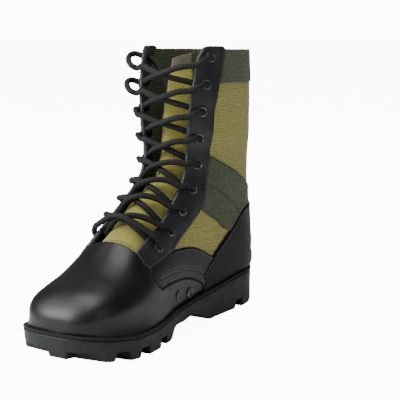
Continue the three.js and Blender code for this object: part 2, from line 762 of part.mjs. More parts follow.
// Gaps between the lugs: slanted notches from each side towards a rib down the middle
const FOREFOOT_GAPS = [0.681, 0.804, 0.895, 0.968];
const HEEL_GAPS = [0.136];
const RIB = 9; // half width of the middle rib
const SLANT = 0.35; // how much a gap runs forward for each millimetre towards the middle
const GAP_DRAFT = 2; // how much wider a gap is at the tread
function lugGap(along, side, depth) {
  const s = along * LAST_LENGTH;
  const floor = springAt(s);
  const reach = BALL_WIDTH;
  const shift = (x) => (reach - x) * SLANT * 0.5;
  const corners = (z, wide) => {
    const half = LUG_GAP / 2 + wide;
    const at = (x, d) => new THREE.Vector3(side * x, -(s + shift(x) - shift(BALL_WIDTH / 2) + d), z);
    return [at(RIB, -half), at(RIB, half), at(reach, half), at(reach, -half)];
  };
  const low = corners(floor - 12, GAP_DRAFT);
  const high = corners(floor + depth, 0);
  const faces = [[low[0], low[1], low[2], low[3]], [high[3], high[2], high[1], high[0]]];
  for (let i = 0; i < 4; i++) {
    const j = (i + 1) % 4;
    faces.push([low[j], low[i], high[i], high[j]]);
  }
  const ordered = side < 0 ? faces : faces.map((face) => face.toReversed());
  return solid(triangles(ordered));
}

const cuts = [];
for (const side of Object.values(SIDES)) {
  for (const along of FOREFOOT_GAPS) cuts.push(lugGap(along, side, LUG_DEPTH));
  for (const along of HEEL_GAPS) cuts.push(lugGap(along, side, LUG_DEPTH));
}
const blank = soleBlank();
const outsole = cutAll(blank.intersect(underSole(-WELT_HEIGHT)).subtract(undersideCut()), cuts);
add("outsole", outsole, RUBBER);

const weltZone = underSole(0).subtract(underSole(GAP - WELT_HEIGHT));
add("welt", blank.intersect(weltZone).subtract(lastBody(GAP)), RIBBED_RUBBER);

const insoleZone = underSole(GAP - WELT_HEIGHT + INSOLE_THICKNESS).subtract(underSole(GAP - WELT_HEIGHT));
add("insole", lastBody(-WALL - GAP).intersect(insoleZone), BOARD);

// Upper: one hollow wall, open at the collar, at the throat and underneath
const aboveWelt = underSole(GAP);
const facingRegion = sidePrism(grown(FACING_OUTLINE, GAP));
const counterRegion = sidePrism(grown(COUNTER_OUTLINE, GAP));
const vampRegion = sidePrism(VAMP_OUTLINE);
const vampCuts = [aboveWelt, facingRegion, counterRegion];
const vampStep = cutAll(layer(VAMP_STEP, -WALL / 2).intersect(vampRegion), vampCuts);
const upper = cutAll(layer(0, -WALL).subtract(underSole(GAP - WELT_HEIGHT)).add(vampStep), [
  throatCut,
  crownCut,
  ...Object.values(eyeletBores),
  ...ventBores,
]);
add("upper", upper, CANVAS);

const halves = { medial: [0, FAR], lateral: [-FAR, 0] };
const leather = layer(GAP + OVERLAY, GAP);
const webbing = layer(GAP + WEBBING, GAP);
const facing = layer(GAP + FACING, GAP);
const vampBorder = sidePrism(grown(VAMP_OUTLINE, GAP));
const foxingBorder = sidePrism(grown(FOXING_OUTLINE, GAP));

add("heel_counter", leather.intersect(sidePrism(COUNTER_OUTLINE)).subtract(aboveWelt), LEATHER);
add("collar_band", cutAll(webbing.intersect(sidePrism(COLLAR_OUTLINE)), [facingRegion, crownCut]), DARK_WEBBING);
for (const [name, [from, to]] of Object.entries(halves)) {
  const bores = eyelets.filter((spot) => spot.side === SIDES[name]).map((spot) => eyeletBores[spot.name]);
  const eyestay = facing.intersect(sidePrism(FACING_OUTLINE, from, to));
  add(`eyestay_${name}`, cutAll(eyestay, [throatCut, crownCut, ...bores]), FACING_LEATHER);
  const foxing = leather.intersect(sidePrism(FOXING_OUTLINE, from, to));
  add(`foxing_${name}`, cutAll(foxing, [facingRegion, counterRegion, vampBorder, aboveWelt]), LEATHER);
  const inner = name === "medial" ? [GAP / 2, FAR] : [-FAR, -GAP / 2];
  const ankle = webbing.intersect(sidePrism(ANKLE_OUTLINE, ...inner));
  add(`ankle_webbing_${name}`, cutAll(ankle, [facingRegion, counterRegion, foxingBorder]), DARK_WEBBING);
}

// Tongue: a strip that follows the last behind the throat and leans back towards its top
const TONGUE = [
  { station: 6.2, half: 0.62, lean: 0 },
  { station: 8, half: 0.65, lean: 0.03 },
  { station: 10, half: 0.63, lean: 0.1 },
  { station: 12, half: 0.62, lean: 0.18 },
  { station: 14, half: 0.56, lean: 0.35 },
  { station: 16, half: 0.47, lean: 0.7 },
  { station: 17.6, half: 0.38, lean: 1 },
];
const TONGUE_ROWS = 10;
const TONGUE_COLUMNS = 6;
const TONGUE_SEAT = WALL + 2 * GAP; // from the canvas's outer face to the tongue's
function tonguePoint(station, across, depth) {
  const half = (through(TONGUE, "station", station, "half") * LEG_WIDTH) / 2;
  const lean = TONGUE_LEAN * through(TONGUE, "station", station, "lean");
  const p = frontPoint(station, across * half, -TONGUE_SEAT - depth);
  return p.add(new THREE.Vector3(0, lean, 0));
}

function tongueSolid() {
  const grid = (depth) =>
    Array.from({ length: TONGUE_ROWS + 1 }, (_, i) => {
      const first = TONGUE[0].station;
      const station = first + ((TONGUE[TONGUE.length - 1].station - first) * i) / TONGUE_ROWS;
      return Array.from({ length: TONGUE_COLUMNS + 1 }, (_, j) =>
        tonguePoint(station, (2 * j) / TONGUE_COLUMNS - 1, depth),
      );
    });
  const outer = grid(0);
  const inner = grid(TONGUE_THICKNESS);
  const faces = [];
  for (let i = 0; i < TONGUE_ROWS; i++) {
    for (let j = 0; j < TONGUE_COLUMNS; j++) {
      faces.push([outer[i][j], outer[i][j + 1], outer[i + 1][j + 1], outer[i + 1][j]]);
      faces.push([inner[i + 1][j], inner[i + 1][j + 1], inner[i][j + 1], inner[i][j]]);
    }
    const e = TONGUE_COLUMNS;
    faces.push([outer[i + 1][0], inner[i + 1][0], inner[i][0], outer[i][0]]);
    faces.push([outer[i][e], inner[i][e], inner[i + 1][e], outer[i + 1][e]]);
  }
  for (let j = 0; j < TONGUE_COLUMNS; j++) {
    const t = TONGUE_ROWS;
    faces.push([outer[0][j + 1], outer[0][j], inner[0][j], inner[0][j + 1]]);
    faces.push([outer[t][j], outer[t][j + 1], inner[t][j + 1], inner[t][j]]);
  }
  return solid(triangles(faces));
}
add("tongue", tongueSolid().intersect(lastBody(-WALL - GAP)), CANVAS);

// Eyelets and vents
for (const spot of eyelets) add(spot.name, eyeletSolid(spot), PAINTED_METAL);
for (const spot of vents) add(spot.name, ventSolid(spot), PAINTED_METAL);

// Laces: each crossing is two cords joined where they meet; the lower end of each cord comes out
// of the throat beside a facing, and its upper end lies over the other facing on the next eyelet.
const LACE_SIDES = 6;
const LACE_STEPS = 5;
const LACE_SEAT = GAP + FACING + FLAT_SEAT + EYELET_RIM + 3 * GAP + LACE_RADIUS;
const LACE_SWELL = 1.5; // how far the bottom bar bows out over the throat
const LACE_RISE = 0.2; // of a station, from an eyelet to where its inside cord shows
const LACE_SHARES = [0, 0.3, 0.6]; // of the way across the throat
function cord(points, steps) {
  const curve = new THREE.CatmullRomCurve3(points);
  const section = new THREE.Shape();
  section.absarc(0, 0, LACE_RADIUS, 0, 2 * Math.PI);
  const options = { steps, curveSegments: LACE_SIDES / 2, bevelEnabled: false, extrudePath: curve };
  return solid(new THREE.ExtrudeGeometry(section, options));
}

const eyeletAt = (side, level) => eyelets.find((spot) => spot.side === side && spot.level === level);

function crossingCord(level, from) {
  const start = eyeletAt(from, level);
  const end = eyeletAt(-from, level + 1);
  const first = start.station + LACE_RISE;
  const edge = (station, side) => sectionPoint(station, facingEdge(station, side), side).x;
  const inner = edge(first, from) - from * (LACE_RADIUS + 3 * GAP);
  const outer = edge(end.station, -from);
  const points = LACE_SHARES.map((share) => {
    const station = THREE.MathUtils.lerp(first, end.station, share);
    const height = THREE.MathUtils.lerp(6 * GAP, LACE_SEAT, share ** 2);
    return frontPoint(station, THREE.MathUtils.lerp(inner, outer, share), height);
  });
  const rim = surfacePoint(end.station, facingEdge(end.station, -from), -from, LACE_SEAT);
  const eye = surfacePoint(end.station, end.turn, -from, LACE_SEAT);
  return cord([...points, rim, eye], LACE_STEPS);
}

function barCord() {
  const ends = Object.values(SIDES).map((side) => eyeletAt(side, 0));
  const eyes = ends.map((spot) => surfacePoint(spot.station, spot.turn, spot.side, LACE_SEAT));
  const rims = ends.map((spot) =>
    surfacePoint(spot.station, facingEdge(spot.station, spot.side), spot.side, LACE_SEAT),
  );
  const { station } = ends[0];
  const middle = surfacePoint(station, 0, MEDIAL, LACE_SEAT + LACE_SWELL);
  middle.x = 0;
  return cord([eyes[0], rims[0], middle, rims[1], eyes[1]], LACE_STEPS + 2);
}

// The free end comes out inside the outer side's top eyelet and hangs down behind the tongue.
// across: share of half LEG_WIDTH; along: share of LAST_LENGTH; up: share of SHAFT_TOP
const LACE_END = [
  { across: 0.765, along: 0.325, up: 0.946 },
  { across: 0.6, along: 0.325, up: 0.93 },
  { across: 0.42, along: 0.33, up: 0.892 },
  { across: 0.25, along: 0.34, up: 0.838 },
  { across: 0.14, along: 0.352, up: 0.781 },
];
const LACE_END_STEPS = 8;
function endCord() {
  const top = eyeletAt(LATERAL, EYELETS - 1);
  const start = surfacePoint(top.station, top.turn, LATERAL, 2 * GAP / 3 - WALL);
  const rest = LACE_END.map(
    ({ across, along, up }) =>
      new THREE.Vector3((-across * LEG_WIDTH) / 2, -along * LAST_LENGTH, up * SHAFT_TOP),
  );
  return cord([start, ...rest], LACE_END_STEPS);
}

add("lace_end", endCord(), LACE_CORD);
add("lace_bar", barCord(), LACE_CORD);
for (let level = 0; level < EYELETS - 1; level++) {
  const both = crossingCord(level, MEDIAL).add(crossingCord(level, LATERAL));
  add(`lace_crossing_${level + 1}`, both, LACE_CORD);
}

// The origin lies under the middle of the boot's box, on the floor
const box = new THREE.Box3().setFromObject(boot);
const centre = box.getCenter(new THREE.Vector3());
boot.position.set(-centre.x, -centre.y, -box.min.z);

export default boot;
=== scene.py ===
import bpy
import numpy as np
from mathutils import Matrix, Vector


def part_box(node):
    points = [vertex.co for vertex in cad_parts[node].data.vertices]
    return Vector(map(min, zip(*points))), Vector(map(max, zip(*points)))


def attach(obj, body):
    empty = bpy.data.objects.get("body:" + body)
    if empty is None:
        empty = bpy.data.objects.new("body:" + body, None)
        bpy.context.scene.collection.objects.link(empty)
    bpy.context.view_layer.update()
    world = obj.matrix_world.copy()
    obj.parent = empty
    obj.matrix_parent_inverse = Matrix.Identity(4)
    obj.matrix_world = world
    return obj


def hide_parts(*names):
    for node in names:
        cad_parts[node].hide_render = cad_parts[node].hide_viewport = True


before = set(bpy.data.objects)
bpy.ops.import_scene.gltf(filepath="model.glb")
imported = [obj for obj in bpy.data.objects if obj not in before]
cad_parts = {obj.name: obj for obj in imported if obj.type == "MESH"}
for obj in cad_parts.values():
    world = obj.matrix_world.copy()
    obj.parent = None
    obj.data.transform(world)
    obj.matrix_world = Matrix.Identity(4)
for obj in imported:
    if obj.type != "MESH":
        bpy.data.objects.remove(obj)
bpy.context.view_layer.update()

# View: a long lens from the toe's inner side, a little above the floor, with the boot standing
# left of the middle of the picture. The lens is shifted so that the boot keeps its upright lines.
AZIMUTH, ELEVATION, ROLL = np.radians([36.5, 9.5, -1.25])
DISTANCE = 1.15
AIM = np.array([0.0001, -0.0051, 0.12])
LENS, SENSOR = 112.5, 36.0
SHIFT = (0.1315, 0.0002)

back = np.array(
    [np.sin(AZIMUTH) * np.cos(ELEVATION), -np.cos(AZIMUTH) * np.cos(ELEVATION), np.sin(ELEVATION)]
)
level = np.cross(-back, [0, 0, 1])
level /= np.linalg.norm(level)
upright = np.cross(level, -back)
right = level * np.cos(ROLL) + upright * np.sin(ROLL)
above = upright * np.cos(ROLL) - level * np.sin(ROLL)
lens = bpy.data.cameras.new("view")
lens.lens, lens.sensor_width = LENS, SENSOR
lens.shift_x, lens.shift_y = SHIFT
camera = bpy.data.objects.new("view", lens)
turned = np.eye(4)
turned[:3, 0], turned[:3, 1], turned[:3, 2], turned[:3, 3] = right, above, back, AIM + back * DISTANCE
camera.matrix_world = Matrix(turned.tolist())
bpy.context.collection.objects.link(camera)
bpy.context.scene.camera = camera

# Studio: a pale floor that runs far back, a broad soft light overhead, one beside the camera on
# the toe's side, and weak ones on the inner side and behind. The surrounding gives little light;
# it and the floor glow white only where the camera looks at them.
FLOOR_HALF = 6.0
LAMPS = [
    {"name": "overhead", "at": (-0.15, -0.45, 1.6), "size": 1.5, "power": 30},
    {"name": "toe_side", "at": (-1.1, -1.3, 0.9), "size": 1.2, "power": 46},
    {"name": "inner_side", "at": (1.5, -0.7, 0.8), "size": 0.9, "power": 3.0},
    {"name": "behind", "at": (-0.5, 1.4, 1.1), "size": 0.8, "power": 8},
]
SURROUND, BACKDROP, FLOOR_GLOW = 0.2, 12.0, 11.2


def plain_material(name, colour, roughness):
    """One colour and one roughness, set on the shader's own sockets."""
    material = bpy.data.materials.new(name)
    material.use_nodes = True
    shader = material.node_tree.nodes["Principled BSDF"]
    shader.inputs["Base Color"].default_value = (*colour, 1)
    shader.inputs["Roughness"].default_value = roughness
    return material


floor_mesh = bpy.data.meshes.new("floor")
edge = FLOOR_HALF
floor_mesh.from_pydata(
    [(-edge, -edge, 0), (edge, -edge, 0), (edge, edge, 0), (-edge, edge, 0)], [], [(0, 1, 2, 3)]
)
pale = plain_material("pale_floor", (0.9, 0.9, 0.9), 0.7)
pale_nodes = pale.node_tree.nodes
pale_nodes["Principled BSDF"].inputs["Emission Color"].default_value = (1, 1, 1, 1)
seen = pale_nodes.new("ShaderNodeLightPath")
glow = pale_nodes.new("ShaderNodeMath")
glow.operation = "MULTIPLY"
glow.inputs[1].default_value = FLOOR_GLOW
pale.node_tree.links.new(seen.outputs["Is Camera Ray"], glow.inputs[0])
pale.node_tree.links.new(glow.outputs[0], pale_nodes["Principled BSDF"].inputs["Emission Strength"])
floor_mesh.materials.append(pale)
floor = bpy.data.objects.new("floor", floor_mesh)
floor.location.z = -0.0004
bpy.context.collection.objects.link(floor)

for lamp in LAMPS:
    light = bpy.data.lights.new(lamp["name"], "AREA")
    light.shape, light.size, light.energy = "DISK", lamp["size"], lamp["power"]
    holder = bpy.data.objects.new(lamp["name"], light)
    toward = np.array(lamp["at"]) - AIM
    toward /= np.linalg.norm(toward)
    across = np.cross([0, 0, 1], toward)
    across /= np.linalg.norm(across)
    placed = np.eye(4)
    placed[:3, 0], placed[:3, 1], placed[:3, 2] = across, np.cross(toward, across), toward
    placed[:3, 3] = lamp["at"]
    holder.matrix_world = Matrix(placed.tolist())
    bpy.context.collection.objects.link(holder)

world = bpy.data.worlds.new("surround")
world.use_nodes = True
world.node_tree.nodes["Background"].inputs["Color"].default_value = (1, 1, 1, 1)
seen = world.node_tree.nodes.new("ShaderNodeLightPath")
strength = world.node_tree.nodes.new("ShaderNodeMapRange")
strength.inputs["To Min"].default_value = SURROUND
strength.inputs["To Max"].default_value = BACKDROP
world.node_tree.links.new(seen.outputs["Is Camera Ray"], strength.inputs["Value"])
world.node_tree.links.new(strength.outputs[0], world.node_tree.nodes["Background"].inputs["Strength"])
bpy.context.scene.world = world

# Outsole: one moulded black rubber sole with a raised heel, a hollow breast, a smooth side and
# deep gaps between its lugs. It is worked out from slices across the foot, in mm, and s is the
# distance from the back of the heel towards the toe.
LAST_LENGTH, BALL_WIDTH, LEG_WIDTH = 280.0, 100.0, 86.0
TOE_ROUND = {1: 54.0, -1: 28.0}
HEEL_ROUND, END_SQUARE, TOE_SWING = 36.0, 2.3, 4.0
FOREFOOT_HEIGHT, HEEL_HEIGHT, TOE_SPRING, WAIST_LIFT = 21.5, 37.5, 5.0, 11.0
LUG_DEPTH, LUG_GAP, RIB, SLANT = 8.0, 12.5, 9.0, 0.35
LEDGE, WELT_HEIGHT, GAP = 5.0, 3.0, 0.3
FEATHER = {
    "along": [-0.018, 0.125, 0.268, 0.411, 0.554, 0.679, 0.786, 0.875, 1.004],
    1: [0.54, 0.57, 0.586, 0.61, 0.71, 0.89, 0.976, 0.956, 0.9],
    -1: [0.62, 0.64, 0.67, 0.74, 0.86, 0.97, 1.028, 1.024, 1],
}
SOLE_LINE = {
    "along": [-0.03, 0.125, 0.268, 0.411, 0.554, 0.696, 0.835, 0.918, 1.004, 1.04],
    "seat": [1, 0.863, 0.594, 0.344, 0.156, 0.02, 0, 0, 0, 0],
    "spring": [0, 0, 0, 0, 0, 0, 0, 0.36, 1, 1.3],
    "swing": [0, 0, 0, 0, 0, 0.18, 0.36, 0.66, 1, 1.1],
}
UNDERSIDE = {
    "along": [-0.02, 0.01, 0.05, 0.3, 0.335, 0.37, 0.43, 0.51, 0.575, 0.612, 0.65, 0.8, 1.05],
    "lift": [0.16, 0, 0, 0, 0.02, 0.3, 1, 0.86, 0.8, 0.04, 0, 0, 0],
}
LUG_PLACES = [0.136, 0.681, 0.804, 0.895, 0.968]
SIDE_PROFILE = [
    (0, -2.2), (0.02, -1.3), (0.07, -0.75), (0.25, -0.65), (0.5, -0.5), (0.75, -0.25), (0.9, -0.1),
    (0.97, -0.15), (1, -0.8),
]

# How far the sole stands out behind the last, and how far its middle lies beside the last's axis
HEEL_OVERHANG, AXIS_OFFSET = 4.6, 0.05
low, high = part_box("outsole")
HEEL_BACK_Y = high[1] * 1000 - HEEL_OVERHANG
MIDDLE_X = (low[0] + high[0]) * 500 + AXIS_OFFSET


def through(table, key, column, at):
    """Smooth curve through a table: a cubic between rows whose slope at each row is the one
    between its two neighbours."""
    x, y = np.asarray(table[key], float), np.asarray(table[column], float)
    n = len(x)
    before, after = np.maximum(np.arange(n) - 1, 0), np.minimum(np.arange(n) + 1, n - 1)
    slope = (y[after] - y[before]) / (x[after] - x[before])
    at = np.clip(at, x[0], x[-1])
    i = np.clip(np.searchsorted(x, at, side="right") - 1, 0, n - 2)
    span = x[i + 1] - x[i]
    t = (at - x[i]) / span
    rise = slope[i] * (t**3 - 2 * t**2 + t) + slope[i + 1] * (t**3 - t**2)
    return y[i] * (2 * t**3 - 3 * t**2 + 1) + y[i + 1] * (3 * t**2 - 2 * t**3) + rise * span


def sole_line(s, column):
    return through(SOLE_LINE, "along", column, s / LAST_LENGTH)


def axis_at(s):
    return TOE_SWING * sole_line(s, "swing")


def sole_top(s):
    """Height of the sole's top: forefoot height, plus the heel's share and the toe spring."""
    at_seat = FOREFOOT_HEIGHT + (HEEL_HEIGHT - FOREFOOT_HEIGHT) * sole_line(s, "seat")
    return at_seat + TOE_SPRING * sole_line(s, "spring")


def end_round(distance, length):
    """A quarter of a squared circle, 0 at the end and 1 where the sides have their full width."""
    b = np.clip(distance / length, 0, 1)
    return (1 - (1 - b) ** END_SQUARE) ** (1 / END_SQUARE)


def toe_share(s, side, grow=0.0):
    length = np.where(np.asarray(side) > 0, TOE_ROUND[1], TOE_ROUND[-1])
    return end_round(LAST_LENGTH + grow - s, length + grow)


def outline_half(s, side, grow=0.0):
    """Half width of the plan outline that lies grow outside the feather edge."""
    s, side = np.broadcast_arrays(np.asarray(s, float), np.asarray(side))
    share = np.where(
        side > 0, through(FEATHER, "along", 1, s / LAST_LENGTH),
        through(FEATHER, "along", -1, s / LAST_LENGTH),
    )
    half = (share * BALL_WIDTH / 2 + grow) * toe_share(s, side, grow)
    return half * end_round(s + grow, HEEL_ROUND + grow)


def smooth_step(x, start, end):
    t = np.clip((x - start) / (end - start), 0, 1)
    return t * t * (3 - 2 * t)


def tread(x, s):
    """Height of the underside: the side view's line plus the depth of the slanted gaps, which
    run from each edge towards the rib in the middle."""
    arch = WAIST_LIFT * through(UNDERSIDE, "along", "lift", s / LAST_LENGTH)
    base = arch + TOE_SPRING * sole_line(s, "spring")
    depth = np.zeros_like(base)
    for place in LUG_PLACES:
        centre = place * LAST_LENGTH + (BALL_WIDTH / 2 - np.abs(x)) * SLANT / 2
        wall = np.clip((LUG_GAP / 2 + 1.1 - np.abs(s - centre)) / 1.4, 0, 1)
        floor_lift = LUG_DEPTH + TOE_SPRING * sole_line(place * LAST_LENGTH, "spring") - base
        depth = np.maximum(depth, wall * smooth_step(np.abs(x), RIB, RIB + 1.2) * np.maximum(floor_lift, 0))
    return base + depth


def make_piece(name, points, faces, material, replaced=(), uv=None, attributes=None, facing=None):
    """A mesh from points (x, s, z) in mm and rows of corners, moved into the frame in metres.
    Points at one place are welded. A closed form is turned so that its volume is positive, and a
    sheet so that its faces look along the directions given as facing. uv and attributes hold one
    value per point."""
    place = np.stack([points[:, 0] + MIDDLE_X, HEEL_BACK_Y - points[:, 1], points[:, 2]], 1) / 1000
    first, welded = np.unique(np.round(points, 3), axis=0, return_index=True, return_inverse=True)[1:]
    welded = welded.ravel()
    corner = place[faces]
    normal = np.cross(corner[:, 2] - corner[:, 0], corner[:, -1] - corner[:, 1])
    if facing is None:
        toward = (corner.mean(1) * normal).sum()
    else:
        toward = (normal * (facing[faces[:, 0]] * (1, -1, 1))).sum()
    if toward < 0:
        faces = faces[:, ::-1]
    joined = welded[faces]
    kept = joined != np.roll(joined, -1, 1)
    kept &= (kept.sum(1) > 2)[:, None]
    count = kept.sum(1)
    count = count[count > 0]
    mesh = bpy.data.meshes.new(name)
    mesh.vertices.add(len(first))
    mesh.vertices.foreach_set("co", place[first].ravel())
    mesh.loops.add(int(kept.sum()))
    mesh.loops.foreach_set("vertex_index", joined[kept].astype(np.int32))
    mesh.polygons.add(len(count))
    mesh.polygons.foreach_set("loop_start", np.concatenate([[0], np.cumsum(count)[:-1]]).astype(np.int32))
    mesh.update(calc_edges=True)
    if uv is not None:
        mesh.uv_layers.new(name="surface").data.foreach_set("uv", (uv[faces][kept] / 1000).ravel())
    for title, values in (attributes or {}).items():
        mesh.attributes.new(title, "FLOAT", "POINT").data.foreach_set(
            "value", values[first].astype(np.float32)
        )
    mesh.polygons.foreach_set("use_smooth", np.ones(len(mesh.polygons), bool))
    mesh.materials.append(material)
    mesh.validate()
    piece = bpy.data.objects.new(name, mesh)
    bpy.context.collection.objects.link(piece)
    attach(piece, "root")
    if replaced:
        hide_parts(*replaced)
    return piece


def grid_faces(rows, columns, closed_rows=False, closed_columns=False):
    """Corners of the quads of a grid, going round where a direction is closed."""
    i = np.arange(rows if closed_rows else rows - 1)
    j = np.arange(columns if closed_columns else columns - 1)
    a, b = np.meshgrid(i, j, indexing="ij")
    a2, b2 = (a + 1) % rows, (b + 1) % columns
    return np.stack([a * columns + b, a * columns + b2, a2 * columns + b2, a2 * columns + b], -1).reshape(
        -1, 4
    )


def shader_of(name):
    """A new material, its node tree and its shader."""
    material = bpy.data.materials.new(name)
    material.use_nodes = True
    tree = material.node_tree
    return material, tree, tree.nodes["Principled BSDF"]


def node(tree, kind, values=None, **settings):
    """A node with its settings, its input values given by name or number."""
    made = tree.nodes.new(kind)
    for key, value in settings.items():
        setattr(made, key, value)
    for key, value in (values or {}).items():
        if hasattr(value, "is_output"):
            tree.links.new(value, made.inputs[key])
        else:
            made.inputs[key].default_value = value
    return made


def new_group(name, inputs, outputs):
    """A shader node group with named sockets: inputs give kind and starting value."""
    group = bpy.data.node_groups.new(name, "ShaderNodeTree")
    for title, (kind, start) in inputs.items():
        socket = group.interface.new_socket(title, in_out="INPUT", socket_type=kind)
        if start is not None:
            socket.default_value = start
    for title, kind in outputs.items():
        group.interface.new_socket(title, in_out="OUTPUT", socket_type=kind)
    return group, group.nodes.new("NodeGroupInput"), group.nodes.new("NodeGroupOutput")


def place_group(tree, group, values):
    return node(tree, "ShaderNodeGroup", values, node_tree=group)


def blend(tree, share, first, second):
    """The colour at a share of the way from one colour to another, each fixed or from a socket."""
    return node(tree, "ShaderNodeMix", {"Factor": share, 6: first, 7: second}, data_type="RGBA").outputs[2]


def add_bump(tree, shader, height, strength, distance):
    bump = node(tree, "ShaderNodeBump", {"Height": height, "Strength": strength, "Distance": distance})
    tree.links.new(bump.outputs[0], shader.inputs["Normal"])


FLOAT, COLOUR, VECTOR = "NodeSocketFloat", "NodeSocketColor", "NodeSocketVector"

# Mottle: soft cloudy change of colour and roughness, with fine specks of dust in it
mottle, given, gives = new_group(
    "mottle",
    {
        "Vector": (VECTOR, None), "Base": (COLOUR, (0.02, 0.02, 0.02, 1)),
        "Worn": (COLOUR, (0.06, 0.06, 0.06, 1)), "Scale": (FLOAT, 30.0), "Amount": (FLOAT, 0.3),
        "Roughness": (FLOAT, 0.4),
    },
    {"Color": COLOUR, "Roughness": FLOAT},
)
cloud = node(
    mottle, "ShaderNodeTexNoise",
    {"Vector": given.outputs["Vector"], "Scale": given.outputs["Scale"], "Detail": 5.0, "Roughness": 0.6},
)
lifted = node(mottle, "ShaderNodeMapRange", {0: cloud.outputs["Fac"], 1: 0.4, 2: 0.75, 3: 0.0, 4: 1.0})
part_worn = node(
    mottle, "ShaderNodeMath", {0: lifted.outputs[0], 1: given.outputs["Amount"]}, operation="MULTIPLY"
)
worn_colour = blend(mottle, part_worn.outputs[0], given.outputs["Base"], given.outputs["Worn"])
gloss = node(
    mottle, "ShaderNodeMath", {0: part_worn.outputs[0], 1: 0.35, 2: given.outputs["Roughness"]},
    operation="MULTIPLY_ADD",
)
mottle.links.new(worn_colour, gives.inputs["Color"])
mottle.links.new(gloss.outputs[0], gives.inputs["Roughness"])


def mottled_material(name, base, worn, scale, amount, roughness):
    """A mottled material, its node tree, its shader and its texture coordinates."""
    material, tree, shader = shader_of(name)
    where = node(tree, "ShaderNodeTexCoord")
    tones = {"Base": (*base, 1), "Worn": (*worn, 1), "Roughness": roughness}
    look = place_group(
        tree, mottle, {"Vector": where.outputs["Object"], "Scale": scale, "Amount": amount, **tones}
    )
    tree.links.new(look.outputs["Color"], shader.inputs["Base Color"])
    tree.links.new(look.outputs["Roughness"], shader.inputs["Roughness"])
    return material, tree, shader, where


rubber, tree, shader, where = mottled_material(
    "sole_rubber", (0.0065, 0.0085, 0.0098), (0.012, 0.0155, 0.0175), 55.0, 0.6, 0.5
)
shader.inputs["Specular IOR Level"].default_value = 0.3
pores = node(tree, "ShaderNodeTexNoise", {"Vector": where.outputs["Object"], "Scale": 900.0, "Detail": 2.0})
add_bump(tree, shader, pores.outputs["Fac"], 0.25, 0.0002)

SLICES, UNDER_COLUMNS, TOP_COLUMNS = 460, 60, 8
t = np.linspace(0, 1, SLICES)
spread = 0.15 * t + 0.85 * (1 - np.cos(np.pi * t)) / 2


def sole_ring():
    """Points of every slice, going round: underside from outer to inner edge, inner side up, top
    back across, outer side down. A point's s is its share of the outline at its own ledge."""
    columns = []
    ledge = LEDGE + SIDE_PROFILE[0][1]
    s = -ledge + (LAST_LENGTH + 2 * ledge) * spread
    for w in np.linspace(-1, 1, UNDER_COLUMNS):
        side = 1 if w > 0 else -1
        x = axis_at(s) + w * outline_half(s, side, ledge)
        columns.append(np.stack([x, s, tread(x - axis_at(s), s)], 1))
    for side in (1, -1):
        rows = SIDE_PROFILE[1:] if side > 0 else SIDE_PROFILE[:0:-1]
        for share, inset in rows:
            grow = LEDGE + inset
            s = -grow + (LAST_LENGTH + 2 * grow) * spread
            x = axis_at(s) + side * outline_half(s, side, grow)
            foot = tread(x - axis_at(s), s)
            columns.append(np.stack([x, s, foot + (sole_top(s) - WELT_HEIGHT - foot) * share], 1))
        if side > 0:
            grow = LEDGE + SIDE_PROFILE[-1][1]
            s = -grow + (LAST_LENGTH + 2 * grow) * spread
            for w in np.linspace(1, -1, TOP_COLUMNS)[1:-1]:
                x = axis_at(s) + w * outline_half(s, 1 if w > 0 else -1, grow)
                columns.append(np.stack([x, s, sole_top(s) - WELT_HEIGHT], 1))
    return np.stack(columns, 1)


ring = sole_ring()
outsole = make_piece(
    "outsole_rubber", ring.reshape(-1, 3), grid_faces(SLICES, ring.shape[1], closed_columns=True),
    rubber, ["outsole"],
)

# Welt: a narrow strip of black rubber with fine upright ribs, moulded round the top of the sole
# and cemented to the upper all the way round.
WELT_PROFILE = [
    (-1.5, -2.8), (4.3, -2.8), (5.1, -2.4), (5.35, -1.5), (5.1, -0.5), (4.5, -0.05), (3.4, 0.1),
    (1.2, 0), (-1.5, -0.1),
]
RIB_PITCH = 1.7

ribbed, tree, shader, where = mottled_material(
    "ribbed_rubber", (0.003, 0.0033, 0.0036), (0.01, 0.011, 0.012), 70.0, 0.6, 0.55
)
shader.inputs["Specular IOR Level"].default_value = 0.25
parts = node(tree, "ShaderNodeSeparateXYZ", {0: where.outputs["UV"]})
phase = node(
    tree, "ShaderNodeMath", {0: parts.outputs[0], 1: 2 * np.pi / (RIB_PITCH / 1000)}, operation="MULTIPLY"
)
wave = node(tree, "ShaderNodeMath", {0: phase.outputs[0]}, operation="SINE")
add_bump(tree, shader, wave.outputs[0], 0.8, 0.0003)

HALF_STEPS = 330
t = np.linspace(0, 1, HALF_STEPS)
spread = 0.12 * t + 0.88 * (1 - np.cos(np.pi * t)) / 2
columns = []
for grow, rise in WELT_PROFILE:
    s = -grow + (LAST_LENGTH + 2 * grow) * spread
    inner = np.stack([axis_at(s) + outline_half(s, 1, grow), s, sole_top(s) + rise], 1)
    outer = np.stack([axis_at(s) - outline_half(s, -1, grow), s, sole_top(s) + rise], 1)
    columns.append(np.concatenate([inner, outer[-2:0:-1]]))
welt_points = np.stack(columns, 1)
steps = np.linalg.norm(np.diff(welt_points[:, 3], axis=0, prepend=welt_points[:1, 3]), axis=1)
around = np.repeat(np.cumsum(steps)[:, None], len(WELT_PROFILE), 1)
up_profile = np.broadcast_to(np.arange(len(WELT_PROFILE)) * 1.0, around.shape)
welt = make_piece(
    "welt_strip", welt_points.reshape(-1, 3),
    grid_faces(len(welt_points), len(WELT_PROFILE), True, True), ribbed, ["welt"],
    uv=np.stack([around, up_profile], -1).reshape(-1, 2),
)

